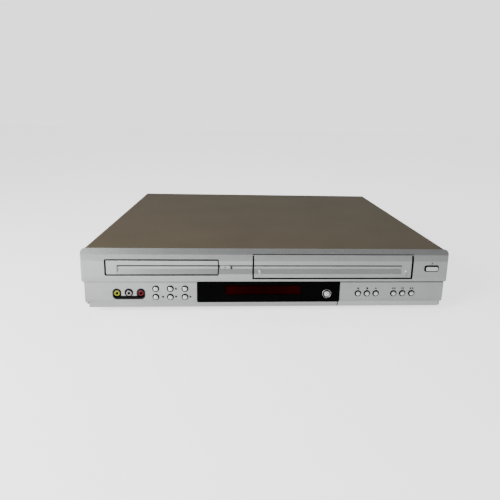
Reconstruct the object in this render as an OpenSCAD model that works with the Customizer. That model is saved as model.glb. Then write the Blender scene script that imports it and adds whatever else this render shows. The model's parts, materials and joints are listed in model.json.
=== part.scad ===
// Disc player and cassette recorder deck, in millimetres.
// Z is up, the front faces -Y, X is to the right, the origin is under the middle of the case.

/* [Case] */
// Overall width over the front panel
case_w = 430; // [388:1:470]
// Overall depth, front face to rear jack tips
case_d = 354; // [320:1:390]
// Overall height, table to top of the front panel
case_h = 78.5; // [71:0.5:90]
// Clearance between table and front panel
foot_h = 7.8; // [7:0.1:10]
// Steel sheet thickness
sheet_t = 0.8; // [0.6:0.1:1]
// Outer bend radius of the top cover
bend_r = 4; // [2:0.5:6]
// How far the rear jacks stand out behind the cover
rear_reach = 8; // [6:0.5:10]
// Foot radius
foot_r = 11; // [8:0.5:14]
// Foot spacing across
foot_span_x = 340; // [300:1:360]
// Foot spacing front to back
foot_span_y = 265; // [230:1:280]
// Vent slots in each cover side
vent_count = 14; // [6:1:16]
// Pitch of those slots
vent_pitch = 6; // [5:0.1:7]
// Screw head height
screw_head_h = 1.4; // [1:0.1:1.8]

/* [Front panel] */
// Height of the bare strip along the bottom
base_h = 6.4; // [5:0.1:8]
// Share of the height beyond cassette and feet that the lower key panel takes
lower_share = 0.55142; // [0.54:0.002:0.57]
// Height of the sloping strip along the top
chamfer_h = 6; // [5:0.1:7]
// Depth of the sloping strip
chamfer_d = 6; // [4.5:0.1:8]
// Depth of the back of the front wall behind the front face
skin_d = 4.4; // [4:0.1:5]
// How far the lower panel ends stand in from the case ends
lower_inset = 3.5; // [2:0.1:6]
// How far the base strip ends stand in from the case ends
base_inset = 7; // [6.5:0.1:12]
// Depth of the styling channel
channel_d = 2; // [1:0.1:2.4]
// Depth of the shadow groove along the channel's top
groove_d = 0.5; // [0.3:0.1:0.7]
// Height of the shadow groove
groove_h = 2.2; // [1.8:0.1:2.6]
// How far the face leans back between the door's top and the sloping strip
face_lean = 1.2; // [0.6:0.1:1.6]
// Corner radius at the top ends of the front
corner_r = 4; // [3:0.5:6]
// How far the channel starts in from the door's left end
channel_in0 = 11.9; // [8:0.1:20]
// How far it ends in from the flap's right end
channel_in1 = 11.3; // [8:0.1:20]

/* [Disc door and loader] */
// Door width
door_w = 126; // [124:0.5:128]
// Door height
door_h = 16.4; // [15:0.1:17]
// Gap round the door
door_gap = 1.3; // [1:0.1:1.4]
// Middle of the door from the case middle, as a share of the case width
door_share = -0.286744; // [-0.292:0.001:-0.286]
// Disc recess radius
disc_r = 60.5; // [60.2:0.1:61]
// Tray travel
tray_travel = 135; // [110:1:135]
// Running gap of tray and slides
slide_gap = 0.3; // [0.2:0.05:0.4]
// Tooth size of the rack and its pinion
rack_module = 1; // [0.9:0.05:1]
// Play between teeth
tooth_play = 0.3; // [0.2:0.05:0.4]
// Pivot pin radius in the loader
pin_r = 1.5; // [1.2:0.1:1.6]
// Running clearance of turning pieces on their pins
run_gap = 0.05; // [0.03:0.01:0.1]
// Turntable radius
table_r = 14; // [12:0.5:15]
// Pickup travel
pickup_travel = 34; // [28:1:34]

/* [Cassette slot and deck] */
// Cassette width
tape_w = 187; // [186:0.5:187.5]
// Cassette height
tape_h = 25; // [24.5:0.1:25]
// Middle of the cassette slot from the case middle, as a share of the case width
slot_share = 0.175581; // [0.174:0.001:0.178]
// Gap at the ends of the flap
flap_gap = 1.5; // [1:0.1:1.6]
// Gap above the flap
flap_top_gap = 0.8; // [0.6:0.05:0.9]
// Gap below the flap
flap_low_gap = 1.5; // [1.1:0.1:1.6]
// Flap hinge pin radius
flap_pin_r = 0.9; // [0.7:0.05:0.95]
// Carriage travel into the case
carriage_in = 36; // [28:1:36]
// Carriage travel down onto the reels
carriage_down = 17; // [14:0.5:17]
// Head drum radius
drum_r = 31; // [29:0.5:31]
// Head drum lean
drum_lean = 5; // [3:0.5:6]
// Spacing of the two reels
reel_span = 89; // [86:1:92]
// Capstan shaft radius
capstan_r = 1.5; // [1.2:0.1:1.8]
// Pinch roller radius
roller_r = 5.5; // [5:0.1:5.6]

/* [Keys, window and jacks] */
// Half width of the display window
window_hw = 84.2; // [80:0.1:84.4]
// Radius of the small round keys
key_r = 2.7; // [2.4:0.1:3]
// Radius of the holes round them
key_hole_r = 3.9; // [3.5:0.1:4]
// Width of the chamfer round those holes
key_chamfer = 0.3; // [0.2:0.1:0.5]
// Key travel
key_travel = 0.6; // [0.4:0.1:0.6]
// Middle of the select key across
select_x = 68.8; // [60:0.1:70]
// Radius of the select key
select_r = 3.5; // [3.2:0.1:3.6]
// Pitch of the front phono jacks
jack_pitch = 13.6; // [13.4:0.1:14]
// Outer radius of a phono jack
jack_r = 3.8; // [3.5:0.1:3.9]
// Bore radius of a phono jack
jack_bore_r = 1.6; // [1.5:0.05:1.7]
// Pitch of the rear phono jacks, both ways
rear_pitch = 18; // [17:0.5:20]
// Outer radius of an aerial socket
aerial_r = 4.75; // [4.5:0.05:5]
// Cord bore radius of the gland
gland_bore_r = 3.6; // [3:0.1:4]

/* [Hidden] */
$fn = 64;
eps = 0.01;
half_w = case_w / 2;
front_y = -case_d / 2;
rear_y = case_d / 2 - rear_reach;
floor_z = foot_h + 1.2;
floor_top = floor_z + sheet_t;
cover_x = half_w - screw_head_h;
cover_top = case_h - 0.4;
cover_under = cover_top - sheet_t;
flange_x = cover_x - sheet_t - 0.2;
panel_x = flange_x - sheet_t - 0.2;
panel_y0 = rear_y - sheet_t - 1;
panel_y1 = rear_y - sheet_t;
board_t = 1.6;
// Levels of the front
base_top = foot_h + base_h;
lower_h = lower_share * (case_h - tape_h - foot_h);
seam_z = base_top + lower_h;
face_top = case_h - chamfer_h;
flap_h = tape_h + 2.5;
flap_top = face_top - 0.1;
flap_z = flap_top - flap_h;
slot_z = flap_z - 0.7;
slot_low = flap_z - flap_low_gap;
slot_high = flap_top + flap_top_gap;
lip_z = flap_z + 0.1;
channel_low = slot_z + 5.1;
channel_top = slot_z + 16;
face_mid = slot_z + 21;
split_x = window_hw - 1.6;
// Depth of the front face behind the foremost plane at a height
function face_d(z) = lookup(z, [[seam_z, 1.2], [seam_z + 0.8, 0.5], [lip_z, 0], [face_mid, 0],
    [face_top, face_lean], [case_h, chamfer_d]]);
// Disc door and loader
door_x = door_share * case_w;
door_z = slot_z + 4.9;
channel_x0 = door_x - door_w / 2 + channel_in0;
tray_w = door_w - 1.6;
tray_x = tray_w / 2;
tray_low = door_z + 6.4;
tray_floor = tray_low + 2;
tray_top = tray_low + 4.8;
skirt_z = tray_low - 3.6;
disc_y = front_y + disc_r + 8.5;
tray_rear = front_y + tray_travel + 47;
frame_y0 = front_y + 20;
frame_y1 = tray_rear + 7;
frame_z = door_z - 13.2;
frame_top = door_z + 16.8;
frame_t = 2.4;
wall_x = tray_x + 1.4;
gear_x = door_x - 42;
gear_y = front_y + 32;
rack_teeth = 16;
rack_r = rack_module * rack_teeth / 2;
rack_x = gear_x - rack_r;
wheel_teeth = 40;
small_teeth = 14;
wheel_module = 0.8;
wheel_r = wheel_module * wheel_teeth / 2;
small_r = wheel_module * small_teeth / 2;
belt_x = gear_x + wheel_r + small_r;
belt_wheel_r = 11.4;
belt_motor_r = 3;
motor_x = belt_x + 40;
motor_y = gear_y - 3;
belt_z = frame_z + 5;
wheel_z = frame_z + 10.8;
trav_hw = tray_x / 2;
trav_z = frame_z + 4;
rail_z = trav_z + 5.5;
rail_x = trav_hw * 0.5788;
rail_r = 1.5;
table_z = trav_z + 11.9;
pick_y = disc_y + 24;
rail_y0 = pick_y - 14;
rail_y1 = pick_y + 14 + pickup_travel;
pivot_y = rail_y1 + 15;
pivot_z = frame_z + 5.5;
screw_x = door_x - trav_hw * 0.836;
bridge_z = frame_top;
// Cassette slot and deck
slot_x = slot_share * case_w;
flap_w = tape_w + 0.6;
channel_x1 = slot_x + flap_w / 2 - channel_in1;
hinge_d = 2.4;
hinge_z = slot_z + tape_h + 2.6;
flap_back = 3.4;
slot_hw = flap_w / 2 + flap_gap;
holder_hw = tape_w / 2 + 1.75;
holder_y0 = front_y + 31;
holder_y1 = holder_y0 + tape_w * 0.48128;
holder_top = slot_z + tape_h + 1;
follower_y = [holder_y0 + 16, holder_y1 - 14];
runner_y = [holder_y0 + 26, holder_y1 - 24];
slide_hw = holder_hw + slide_gap + 1.2;
frame_hw = slide_hw + slide_gap;
frame_end = holder_y1 + carriage_in + 8;
deck_z = floor_top + (slot_z - floor_top) * 0.29651;
deck_top = deck_z + 1.6;
pin_z = slot_z + 18;
run_z = slot_z + 7.8;
drum_x = slot_x - 5;
drum_y = frame_end + 42;
drum_seat = 3.4;
lower_drum_top = drum_seat + tape_h * 0.52;
upper_drum_z = lower_drum_top + 0.4;
upper_drum_top = upper_drum_z + tape_h * 0.528;
deck_y0 = front_y + 27;
deck_y1 = drum_y + 40;
capstan_x = slot_x + 52.5;
capstan_y = drum_y - 30;
arm_len = 20.2;
arm_x = capstan_x + 24;
arm_y = capstan_y + 14;
arm_rest = 240.3;
roller_x = arm_x + arm_len * cos(arm_rest);
roller_y = arm_y + arm_len * sin(arm_rest);
reel_y = holder_y1 + carriage_in - 55;
// Front board, keys and jacks, placed by shares of the room beside the window
board_d = 16;
board_y = front_y + board_d;
switch_d = 11.2;
stem_d = switch_d - key_travel - 0.1;
collar_w = 0.35;
back_d = skin_d + 2;
side_room = half_w - lower_inset - window_hw;
nav_x = [for (share = [0.37156, 0.24116, 0.10919]) -window_hw - share * side_room];
nav_z0 = base_top + lower_h * 0.26984;
nav_z1 = base_top + lower_h * 0.67857;
play_x = [for (share = [0.17675, 0.26316, 0.348, 0.51846, 0.60487, 0.69364]) window_hw + share * side_room];
play_z = base_top + lower_h * 0.41667;
select_z = base_top + lower_h * 0.4127;
tray_key_x = door_x + door_w / 2 + 8.5;
tray_key_z = channel_top - 3.2;
eject_x = half_w - 20.4;
eject_z = slot_z + 11.8;
jack_x = lower_inset - half_w + 0.38885 * side_room;
jack_z = base_top + lower_h * 0.45635;
arch_r = jack_pitch / 2 - 1.7;
select_hole = select_r + 1.2;
select_rim = select_hole + 0.7;
// Rear and inside
rear_jack_x = [for (k = [0:2]) case_w * 0.093023 + k * rear_pitch];
rear_jack_z = [for (k = [0, 1]) deck_z + 18 + k * rear_pitch];
aerial_x = [for (k = [0, 1]) case_w * 0.274419 + k * 24];
aerial_z = deck_z + 26;
gland_x = case_w * -0.348837;
gland_z = floor_top + 22;
main_z = deck_z + 4;
main_x = [case_w * -0.0326, flange_x - 12.6];
main_y = [deck_y1 + 10, panel_y0 - 6];
power_z = floor_top + 8;
power_x = [9.6 - flange_x, case_w * -0.121];
power_y = [frame_y1 + 25, panel_y0 - 6];
post_in = 8;
side_screw_y = [case_d * -0.282486, case_d * 0.310734];
side_screw_z = floor_top + 7;
rear_screw_x = [-1, 0, 1] * case_w * 0.395349;
rear_screw_z = cover_top - 6;
vent_y = case_d * 0.0565;
vent_z = [slot_z - 10.2, slot_z + 11.8];

// Which node to draw

// Shapes used by many pieces
function arc(cx, cy, r, a0, a1, n) = [for (i = [0:n]) [cx + r * cos(a0 + (a1 - a0) * i / n),
    cy + r * sin(a0 + (a1 - a0) * i / n)]];
function rounded(w, h, r, n = 5) = concat(arc(w / 2 - r, h / 2 - r, r, 0, 90, n),
    arc(r - w / 2, h / 2 - r, r, 90, 180, n), arc(r - w / 2, r - h / 2, r, 180, 270, n),
    arc(w / 2 - r, r - h / 2, r, 270, 360, n));
// Post places inside two ends
function post_places(ends, far) = [ends[0] + post_in, ends[1] - far * post_in];
// A place between two ends, by share
function part_of(ends, share) = ends[0] + (ends[1] - ends[0]) * share;
module block(lo, hi) {
    translate(lo) cube(hi - lo);
}
// A block on one side of a middle plane, between two distances from it
module side_block(s, x, a, b, lo, hi) {
    block([x + (s > 0 ? a : -b), lo[0], lo[1]], [x + (s > 0 ? b : -a), hi[0], hi[1]]);
}
module along_x(x0, x1) {
    translate([x0, 0, 0]) rotate([90, 0, 90]) linear_extrude(x1 - x0) children();
}
module along_y(y0, y1) {
    translate([0, y1, 0]) rotate([90, 0, 0]) linear_extrude(y1 - y0) children();
}
module rod_x(x0, x1, y, z, r) {
    translate([x0, y, z]) rotate([0, 90, 0]) cylinder(h = x1 - x0, r = r);
}
module rod_y(x, y0, y1, z, r) {
    translate([x, y0, z]) rotate([-90, 0, 0]) cylinder(h = y1 - y0, r = r);
}
module rod_z(x, y, z0, z1, r) {
    translate([x, y, z0]) cylinder(h = z1 - z0, r = r);
}
// A turned piece on a front to back axis
module turned_y(x, y, z, points) {
    translate([x, y, z]) rotate([-90, 0, 0]) rotate_extrude() polygon(points);
}
// A rounded plate standing across the front, between two depths
module plate(x, z, w, h, r, d0, d1) {
    translate([x, 0, z]) along_y(front_y + d0, front_y + d1) polygon(rounded(w, h, r));
}
// The styling channel, a wedge deepest under its top edge, with sloping ends
module channel_cut() {
    bed = channel_d + groove_d;
    difference() {
        translate([0, front_y, 0]) along_x(channel_x0, channel_x1) polygon([[-2, channel_top],
            [bed, channel_top], [bed, channel_top - groove_h], [channel_d, channel_top - groove_h],
            [channel_d, channel_top - 4.9], [0, channel_low], [-2, channel_low]]);
        translate([channel_x0, front_y + channel_d, 0]) rotate(-60) block([-9, -9, 0], [0, 9, case_h]);
        translate([channel_x1, front_y + channel_d, 0]) rotate(60) block([0, -9, 0], [9, 9, case_h]);
    }
}
// A gear outline with involute flanks
function inv(a) = tan(a) * 180 / PI - a;
function flank(r, rho, teeth, play) = let (rb = r * cos(20)) 90 / teeth - play * 90 / PI / r / 2
    + inv(20) - (rho > rb ? inv(acos(rb / rho)) : 0);
function flank_point(r, rho, teeth, play, mid, side) = let (a = mid + side * flank(r, rho, teeth, play))
    rho * [cos(a), sin(a)];
function gear_points(teeth, m, play) = let (r = teeth * m / 2, rf = r - 1.2 * m, step = 2.05 * m / 4)
    [for (k = [0:teeth - 1]) each concat(
        [for (i = [0:4]) flank_point(r, rf + step * i, teeth, play, 360 * k / teeth, -1)],
        [for (i = [4:-1:0]) flank_point(r, rf + step * i, teeth, play, 360 * k / teeth, 1)])];
// Belt loop round two pulleys
function belt_points(r1, r2, span) = let (b = acos((r1 - r2) / span))
    concat(arc(0, 0, r1, b, 360 - b, 30), arc(span, 0, r2, -b, b, 14));

// Case
module bottom_chassis() {
    color("silver") difference() {
        union() {
            block([-flange_x, front_y + 9, floor_z], [flange_x, panel_y1, floor_top]);
            for (s = [-1, 1])
                side_block(s, 0, flange_x - sheet_t, flange_x, [front_y + 24, floor_z],
                    [panel_y0, floor_top + 14]);
            for (x = [slot_x - frame_hw + 4, slot_x + frame_hw - 4], y = [deck_y0 + 10, deck_y1 - 8])
                rod_z(x, y, floor_top - eps, deck_z, 4);
            for (x = post_places(main_x, 1), y = post_places(main_y, 2))
                rod_z(x, y, floor_top - eps, main_z, 3.5);
            for (x = post_places(power_x, 1), y = post_places(power_y, 2))
                rod_z(x, y, floor_top - eps, power_z, 3.5);
        }
        for (s = [-1, 1], y = side_screw_y)
            rod_x(s * flange_x - 2, s * flange_x + 2, y, side_screw_z, 1.5);
        for (k = [0:7], x = [power_x[0] + 83, power_x[1] + 112])
            block([x + k * 8, rear_y - 66, floor_z - 1], [x + k * 8 + 3, rear_y - 36, floor_top + 1]);
    }
}
module rear_panel() {
    top = cover_under - 0.2;
    color("dimgray") difference() {
        along_y(panel_y0, panel_y1) polygon([[-panel_x, floor_top], [panel_x, floor_top],
            [panel_x, top - bend_r],
            [panel_x - bend_r, top], [bend_r - panel_x, top], [-panel_x, top - bend_r]]);
        for (x = rear_jack_x, z = rear_jack_z)
            rod_y(x, panel_y0 - 1, panel_y1 + 1, z, jack_r + 0.5);
        for (x = aerial_x)
            rod_y(x, panel_y0 - 1, panel_y1 + 1, aerial_z, aerial_r + 0.45);
        rod_y(gland_x, panel_y0 - 1, panel_y1 + 1, gland_z, gland_bore_r + 1.6);
        for (x = rear_screw_x)
            rod_y(x, panel_y0 - 1, panel_y1 + 1, rear_screw_z, 1.5);
        for (k = [0:15])
            translate([gland_x + 32 + k * 7, 0, 0])
                block([0, panel_y0 - 1, floor_top + 14], [3, panel_y1 + 1, floor_top + 40]);
    }
}
// The cover's section from the given level up, as a sheet or as a full plate
function cover_arc(r, a0, a1, s) = arc(s * (cover_x - bend_r), cover_top - bend_r, r, a0, a1, 6);
function cover_outer(z) = concat([[-cover_x, z]], cover_arc(bend_r, 180, 90, -1)
    , cover_arc(bend_r, 90, 0, 1),
    [[cover_x, z]]);
function cover_inner(z) = concat([[cover_x - sheet_t, z]], cover_arc(bend_r - sheet_t, 0, 90, 1),
    cover_arc(bend_r - sheet_t, 90, 180, -1), [[sheet_t - cover_x, z]]);
module top_cover() {
    color("rosybrown") difference() {
        union() {
            along_y(front_y + chamfer_d + 0.2, rear_y) polygon(concat(cover_outer(floor_z)
                , cover_inner(floor_z)));
            along_y(rear_y - sheet_t, rear_y) polygon(cover_outer(cover_top - 12));
        }
        for (s = [-1, 1], y = side_screw_y)
            rod_x(s * cover_x - 2, s * cover_x + 2, y, side_screw_z, 1.7);
        for (x = rear_screw_x)
            rod_y(x, rear_y - 2, rear_y + 1, rear_screw_z, 1.7);
        // bevelled lower front corners
        translate([0, front_y, 0]) along_x(-half_w, half_w) polygon([[0, floor_z - 1],
            [chamfer_d + 9, floor_z - 1], [chamfer_d, base_top + 1], [0, base_top + 1]]);
        for (s = [-1, 1], k = [0:vent_count - 1])
            translate([s * cover_x, vent_y + k * vent_pitch, 0]) block([-2, 0, vent_z[0]],
                [2, 2.4, vent_z[1]]);
    }
}
module feet() {
    color("#222222") for (x = [-1, 1] * foot_span_x / 2, y = [-1, 1] * foot_span_y / 2)
        translate([x, y, 0]) rotate_extrude() polygon([[0, 0], [foot_r - 2.5, 0], [foot_r - 1.5, 1],
            [foot_r, floor_z - 2.5], [foot_r, floor_z], [0, floor_z]]);
}
module screw() {
    rotate_extrude() polygon([[0, -5], [1.2, -5], [1.45, -4.5], [1.45, 0], [3, 0], [3, screw_head_h * 0.4],
        [2.2, screw_head_h], [0, screw_head_h]]);
}
module cover_screws() {
    color("gainsboro") {
        for (s = [-1, 1], y = side_screw_y)
            translate([s * cover_x, y, side_screw_z]) rotate([0, s * 90, 0]) screw();
        for (x = rear_screw_x)
            translate([x, rear_y, rear_screw_z]) rotate([-90, 0, 0]) screw();
    }
}
module cord_gland() {
    g = gland_bore_r;
    color("#1a1a1a") turned_y(gland_x, panel_y0, gland_z, [[g, -4], [g + 2.4, -4], [g + 2.8, -0.05],
        [g + 1.5, -0.05], [g + 1.5, 1.05], [g + 3.6, 1.05], [g + 3.6, 2.4], [g + 2.2, 7], [g, 7]]);
}

// Front panel and its pieces
function upper_face() = [[chamfer_d, case_h], [face_lean, face_top], [0, face_mid], [0, lip_z],
    [0.5, seam_z + 0.8], [1.2, seam_z]];
function lower_face() = [[0.9, seam_z - 1.2], [0.8, seam_z - 12], [1, base_top + 3.5],
    [1.7, base_top + 0.4],
    [2.2, base_top]];
// A round key's hole through a wall, chamfered at the face
module key_hole(x, z, depth) {
    rod_y(x, front_y - 1, front_y + depth, z, key_hole_r);
    translate([x, front_y + 0.7, z]) rotate([-90, 0, 0])
        cylinder(h = key_chamfer + 0.1, r1 = key_hole_r + key_chamfer, r2 = key_hole_r);
}
// The three arches and the trough of the jack recess, grown by a margin
module jack_recess(grow, d0, d1) {
    r = arch_r + grow;
    rod_y(jack_x, front_y + d0, front_y + d1, jack_z + 1, r);
    for (s = [-1, 1])
        plate(jack_x + s * jack_pitch, jack_z - 0.75, 2 * r, 2 * r + 3.5, r - 0.05, d0, d1);
    block([jack_x - jack_pitch, front_y + d0, jack_z - 2.5 - r],
        [jack_x + jack_pitch, front_y + d1, jack_z - 2.9 + grow]);
}
// What the rounding takes off a top corner of the front
function corner_outline() = concat(arc(half_w - corner_r, case_h - corner_r, corner_r, 0, 90, 8),
    [[half_w - corner_r, case_h + 1], [half_w + 1, case_h + 1], [half_w + 1, case_h - corner_r]]);
module front_panel() {
    left_end = lower_inset - half_w;
    post_z = base_top + 3;
    color("lightgray") difference() {
        union() {
            // upper wall with its sloping top strip
            translate([0, front_y, 0]) along_x(-half_w, half_w) polygon(concat(upper_face(),
                [[skin_d, seam_z], [skin_d, face_top - 1], [chamfer_d, face_top + 1.6]]));
            // end walls
            for (s = [-1, 1])
                translate([s * (half_w - 1.2), front_y, 0]) along_x(-1.2, 1.2)
                    polygon(concat(upper_face(), [[chamfer_d, seam_z]]));
            // tongue under the cover
            block([5 - cover_x, front_y + chamfer_d - 1, cover_under - 2.2],
                [cover_x - 5, front_y + 16, cover_under - 0.2]);
            for (s = [-1, 1])
                side_block(s, 0, cover_x - 5, cover_x - sheet_t - 0.4, [front_y + skin_d - eps, seam_z + 2],
                    [front_y + 16, cover_under - bend_r]);
            // lower left wall
            translate([0, front_y, 0]) along_x(left_end, -window_hw - 0.3) polygon(concat([[1.2, seam_z]],
                lower_face(), [[skin_d, base_top], [skin_d, seam_z + 0.5], [1.2, seam_z + 0.5]]));
            // base strip up to its slanted joint, and the floor behind it
            along_y(front_y + 3, front_y + skin_d + 1) polygon([[base_inset - half_w, foot_h],
                [split_x - 0.6, foot_h], [split_x + 0.6, base_top], [base_inset - half_w, base_top]]);
            block([base_inset - half_w, front_y + skin_d + 0.1, foot_h],
                [half_w - base_inset, front_y + 20, floor_z - 0.1]);
            // window rim and the wall behind the right panel
            difference() {
                block([-window_hw - 1, front_y + 2.7, base_top - 2],
                    [window_hw + 1, front_y + skin_d + 1, seam_z + 1]);
                block([2.5 - window_hw, front_y, base_top + 2], [window_hw - 2.5, front_y + 9, seam_z - 2]);
            }
            block([window_hw - 1, front_y + skin_d + 0.1, foot_h],
                [half_w - lower_inset - 1, front_y + back_d, seam_z + 1]);
            // side returns of the lower part, inside the cover
            for (s = [-1, 1])
                side_block(s, 0, -left_end - (s > 0 ? 3 : 2), -left_end - (s > 0 ? 1 : 0),
                    [front_y + skin_d - 0.5, base_top], [front_y + 16, seam_z + 1]);
            // board posts
            for (p = [[(nav_x[0] + nav_x[1]) / 2, (nav_z0 + nav_z1) / 2], [-window_hw - 2.8, post_z],
                    [window_hw + 5.8, post_z], [half_w - 29, post_z]])
                rod_y(p[0], front_y + 3.4, board_y, p[1], 2);
        }
        channel_cut();
        for (s = [-1, 1])
            along_y(front_y - 1, front_y + 30) polygon([for (q = corner_outline()) [s * q[0], q[1]]]);
        plate(door_x, door_z + door_h / 2, door_w + 2 * door_gap, door_h + 2 * door_gap, 1.6, -1, 12);
        plate(slot_x, (slot_low + slot_high) / 2, 2 * slot_hw, slot_high - slot_low, 1, -1, 12);
        rod_x(slot_x - slot_hw - 3, slot_x + slot_hw + 3, front_y + hinge_d, hinge_z, flap_pin_r + run_gap);
        plate(tray_key_x, tray_key_z, 13.8, 4.8, 1.2, -1, 12);
        plate(eject_x, eject_z, 17.2, 7.6, 2.6, -1, 12);
        for (x = nav_x, z = [nav_z0, nav_z1])
            key_hole(x, z, skin_d + 1);
        for (x = play_x)
            rod_y(x, front_y - 1, front_y + back_d + 1, play_z, key_hole_r);
        jack_recess(0, -1, 8);
        // window and right panel beds
        block([-window_hw - 0.3, front_y - 1, base_top], [window_hw + 0.3, front_y + 2.7, seam_z]);
        block([window_hw - 0.5, front_y - 1, base_top], [half_w, front_y + skin_d + 0.1, seam_z]);
        along_y(front_y - 1, front_y + skin_d + 0.1) polygon([[split_x - 0.6, foot_h - eps],
            [half_w, foot_h - eps],
            [half_w, base_top + eps], [split_x + 0.6, base_top + eps]]);
        // rounded ends
        for (s = [0, 1])
            mirror([s, 0, 0]) {
                translate([half_w, front_y, 0]) linear_extrude(2 * case_h)
                    polygon(concat(arc(-3, 3, 3, -90, 0, 5), [[1, 3], [1, -2], [-3, -2]]));
                translate([half_w, 0, seam_z]) along_y(front_y - 1, front_y + 5)
                    polygon(concat(arc(-3.5, 3.5, 3.5, -90, 0, 5), [[1, 3.5], [1, -0.02], [-3.5, -0.02]]));
            }
    }
}
module right_panel() {
    color("lightgray") difference() {
        union() {
            translate([0, front_y, 0]) along_x(window_hw + 0.4, half_w - lower_inset)
                polygon(concat([[1.2, seam_z - 0.5]], lower_face(), [[skin_d, base_top],
                    [skin_d, seam_z - 0.5]]));
            along_y(front_y + 3, front_y + skin_d) polygon([[split_x + 0.2, foot_h],
                [half_w - base_inset, foot_h],
                [half_w - base_inset, base_top + 0.5], [window_hw + 0.4, base_top + 0.5],
                    [window_hw + 0.4, base_top],
                [split_x + 1.4, base_top]]);
            block([half_w - lower_inset - 0.8, front_y + skin_d - eps, base_top],
                [half_w - lower_inset, front_y + chamfer_d, seam_z - 0.5]);
        }
        for (x = play_x)
            key_hole(x, play_z, skin_d + 1);
    }
}
module display_window() {
    color("#080808") difference() {
        plate(0, (base_top + seam_z) / 2, 2 * window_hw, lower_h - 0.3, 1.2, 0.3, 2.7);
        rod_y(select_x, front_y - 1, front_y + 4, select_z, select_rim + 0.1);
    }
}
module select_ring() {
    color("gainsboro") turned_y(select_x, front_y, select_z, [[select_hole, 0.5], [select_hole + 0.2, 0.1],
        [select_rim - 0.2, 0.1], [select_rim, 0.4], [select_rim, 4], [select_hole, 4]]);
}
// A round key: domed cap, retaining collar behind the wall, stem to its switch
module round_key(x, z, r, d0, wall, hole) {
    collar = wall + 0.3;
    rim = hole + collar_w;
    color("silver") turned_y(x, front_y, z, concat([for (i = [0:4]) [r * i / 4, d0 + 0.6 * pow(i / 4, 2)]],
        [[r, collar], [rim, collar], [rim, collar + 1], [1.8, collar + 1], [1.8, stem_d], [0, stem_d]]));
}
// A long key: rounded cap, collar and stem
module long_key(x, z, w, h, r, d0) {
    color("silver") {
        plate(x, z, w, h, r, d0, skin_d + 0.4);
        plate(x, z, w + 3, h + 3, r, skin_d + 0.3, skin_d + 1.3);
        rod_y(x, front_y + skin_d + 1.2, front_y + stem_d, z, 1.8);
    }
}
module key_select() { round_key(select_x, select_z, select_r, 0.3, 4, select_hole); }
module key_tray() { long_key(tray_key_x, tray_key_z, 12.2, 4.2, 1, 1.4); }
module key_eject() { long_key(eject_x, eject_z, 14.8, 5.2, 2, 0.3); }
module key_enter() { round_key(nav_x[0], nav_z1, key_r, 0.3, skin_d, key_hole_r); }
module key_up() { round_key(nav_x[1], nav_z1, key_r, 0.3, skin_d, key_hole_r); }
module key_mode() { round_key(nav_x[2], nav_z1, key_r, 0.3, skin_d, key_hole_r); }
module key_left() { round_key(nav_x[0], nav_z0, key_r, 0.3, skin_d, key_hole_r); }
module key_down() { round_key(nav_x[1], nav_z0, key_r, 0.3, skin_d, key_hole_r); }
module key_right() { round_key(nav_x[2], nav_z0, key_r, 0.3, skin_d, key_hole_r); }
module key_record() { round_key(play_x[0], play_z, key_r, 0.3, back_d, key_hole_r); }
module key_stop() { round_key(play_x[1], play_z, key_r, 0.3, back_d, key_hole_r); }
module key_play() { round_key(play_x[2], play_z, key_r, 0.3, back_d, key_hole_r); }
module key_rewind() { round_key(play_x[3], play_z, key_r, 0.3, back_d, key_hole_r); }
module key_pause() { round_key(play_x[4], play_z, key_r, 0.3, back_d, key_hole_r); }
module key_forward() { round_key(play_x[5], play_z, key_r, 0.3, back_d, key_hole_r); }
module jack_pocket() {
    color("#101010") difference() {
        union() {
            jack_recess(-0.2, 1.3, 11);
            plate(jack_x, jack_z - 0.75, 2 * jack_pitch + 14, 17.2, 6, skin_d + 0.05, skin_d + 1.2);
        }
        jack_recess(-1, 0, 9);
        for (k = [-1:1])
            rod_y(jack_x + k * jack_pitch, front_y, front_y + 12, jack_z, jack_r + 0.1);
    }
}
module front_jack(k) {
    turned_y(jack_x + k * jack_pitch, front_y, jack_z, [[jack_bore_r, 0.9], [jack_r - 0.9, 0.9],
        [jack_r, 1.8], [jack_r, 11.1], [jack_r + 1.2, 11.1], [jack_r + 1.2, 13.4], [0, 13.4], [0, 12.2],
            [jack_bore_r, 12.2]]);
}
module jack_yellow() { color("gold") front_jack(-1); }
module jack_white() { color("white") front_jack(0); }
module jack_red() { color("firebrick") front_jack(1); }

// Boards
module board_switch(x, z) {
    block([x - 3, front_y + 12.6, z - 3], [x + 3, board_y + eps, z + 3]);
    rod_y(x, front_y + switch_d, front_y + 12.7, z, 1.6);
}
module front_board() {
    top = seam_z - 3.5;
    low = base_top + 0.4;
    end0 = nav_x[0] - 8.5;
    end1 = half_w - 10;
    key0 = tray_key_x - 7.2;
    key1 = tray_key_x + 7.8;
    color("darkolivegreen") {
        along_y(board_y, board_y + board_t) polygon([[end0, low], [end1, low], [end1, eject_z + 5],
            [eject_x - 10, eject_z + 5], [eject_x - 10, top], [key1, top], [key1, tray_key_z + 5],
            [key0, tray_key_z + 5], [key0, top], [end0, top]]);
        for (x = nav_x, z = [nav_z0, nav_z1])
            board_switch(x, z);
        for (x = play_x)
            board_switch(x, play_z);
        board_switch(select_x, select_z);
        board_switch(tray_key_x, tray_key_z);
        board_switch(eject_x, eject_z);
    }
}
module display_module() {
    color("#300000") block([window_hw * -0.6176, front_y + 5.6, base_top + lower_h * 0.2937],
        [window_hw * 0.4632, board_y, seam_z - lower_h * 0.1825]);
}
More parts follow.
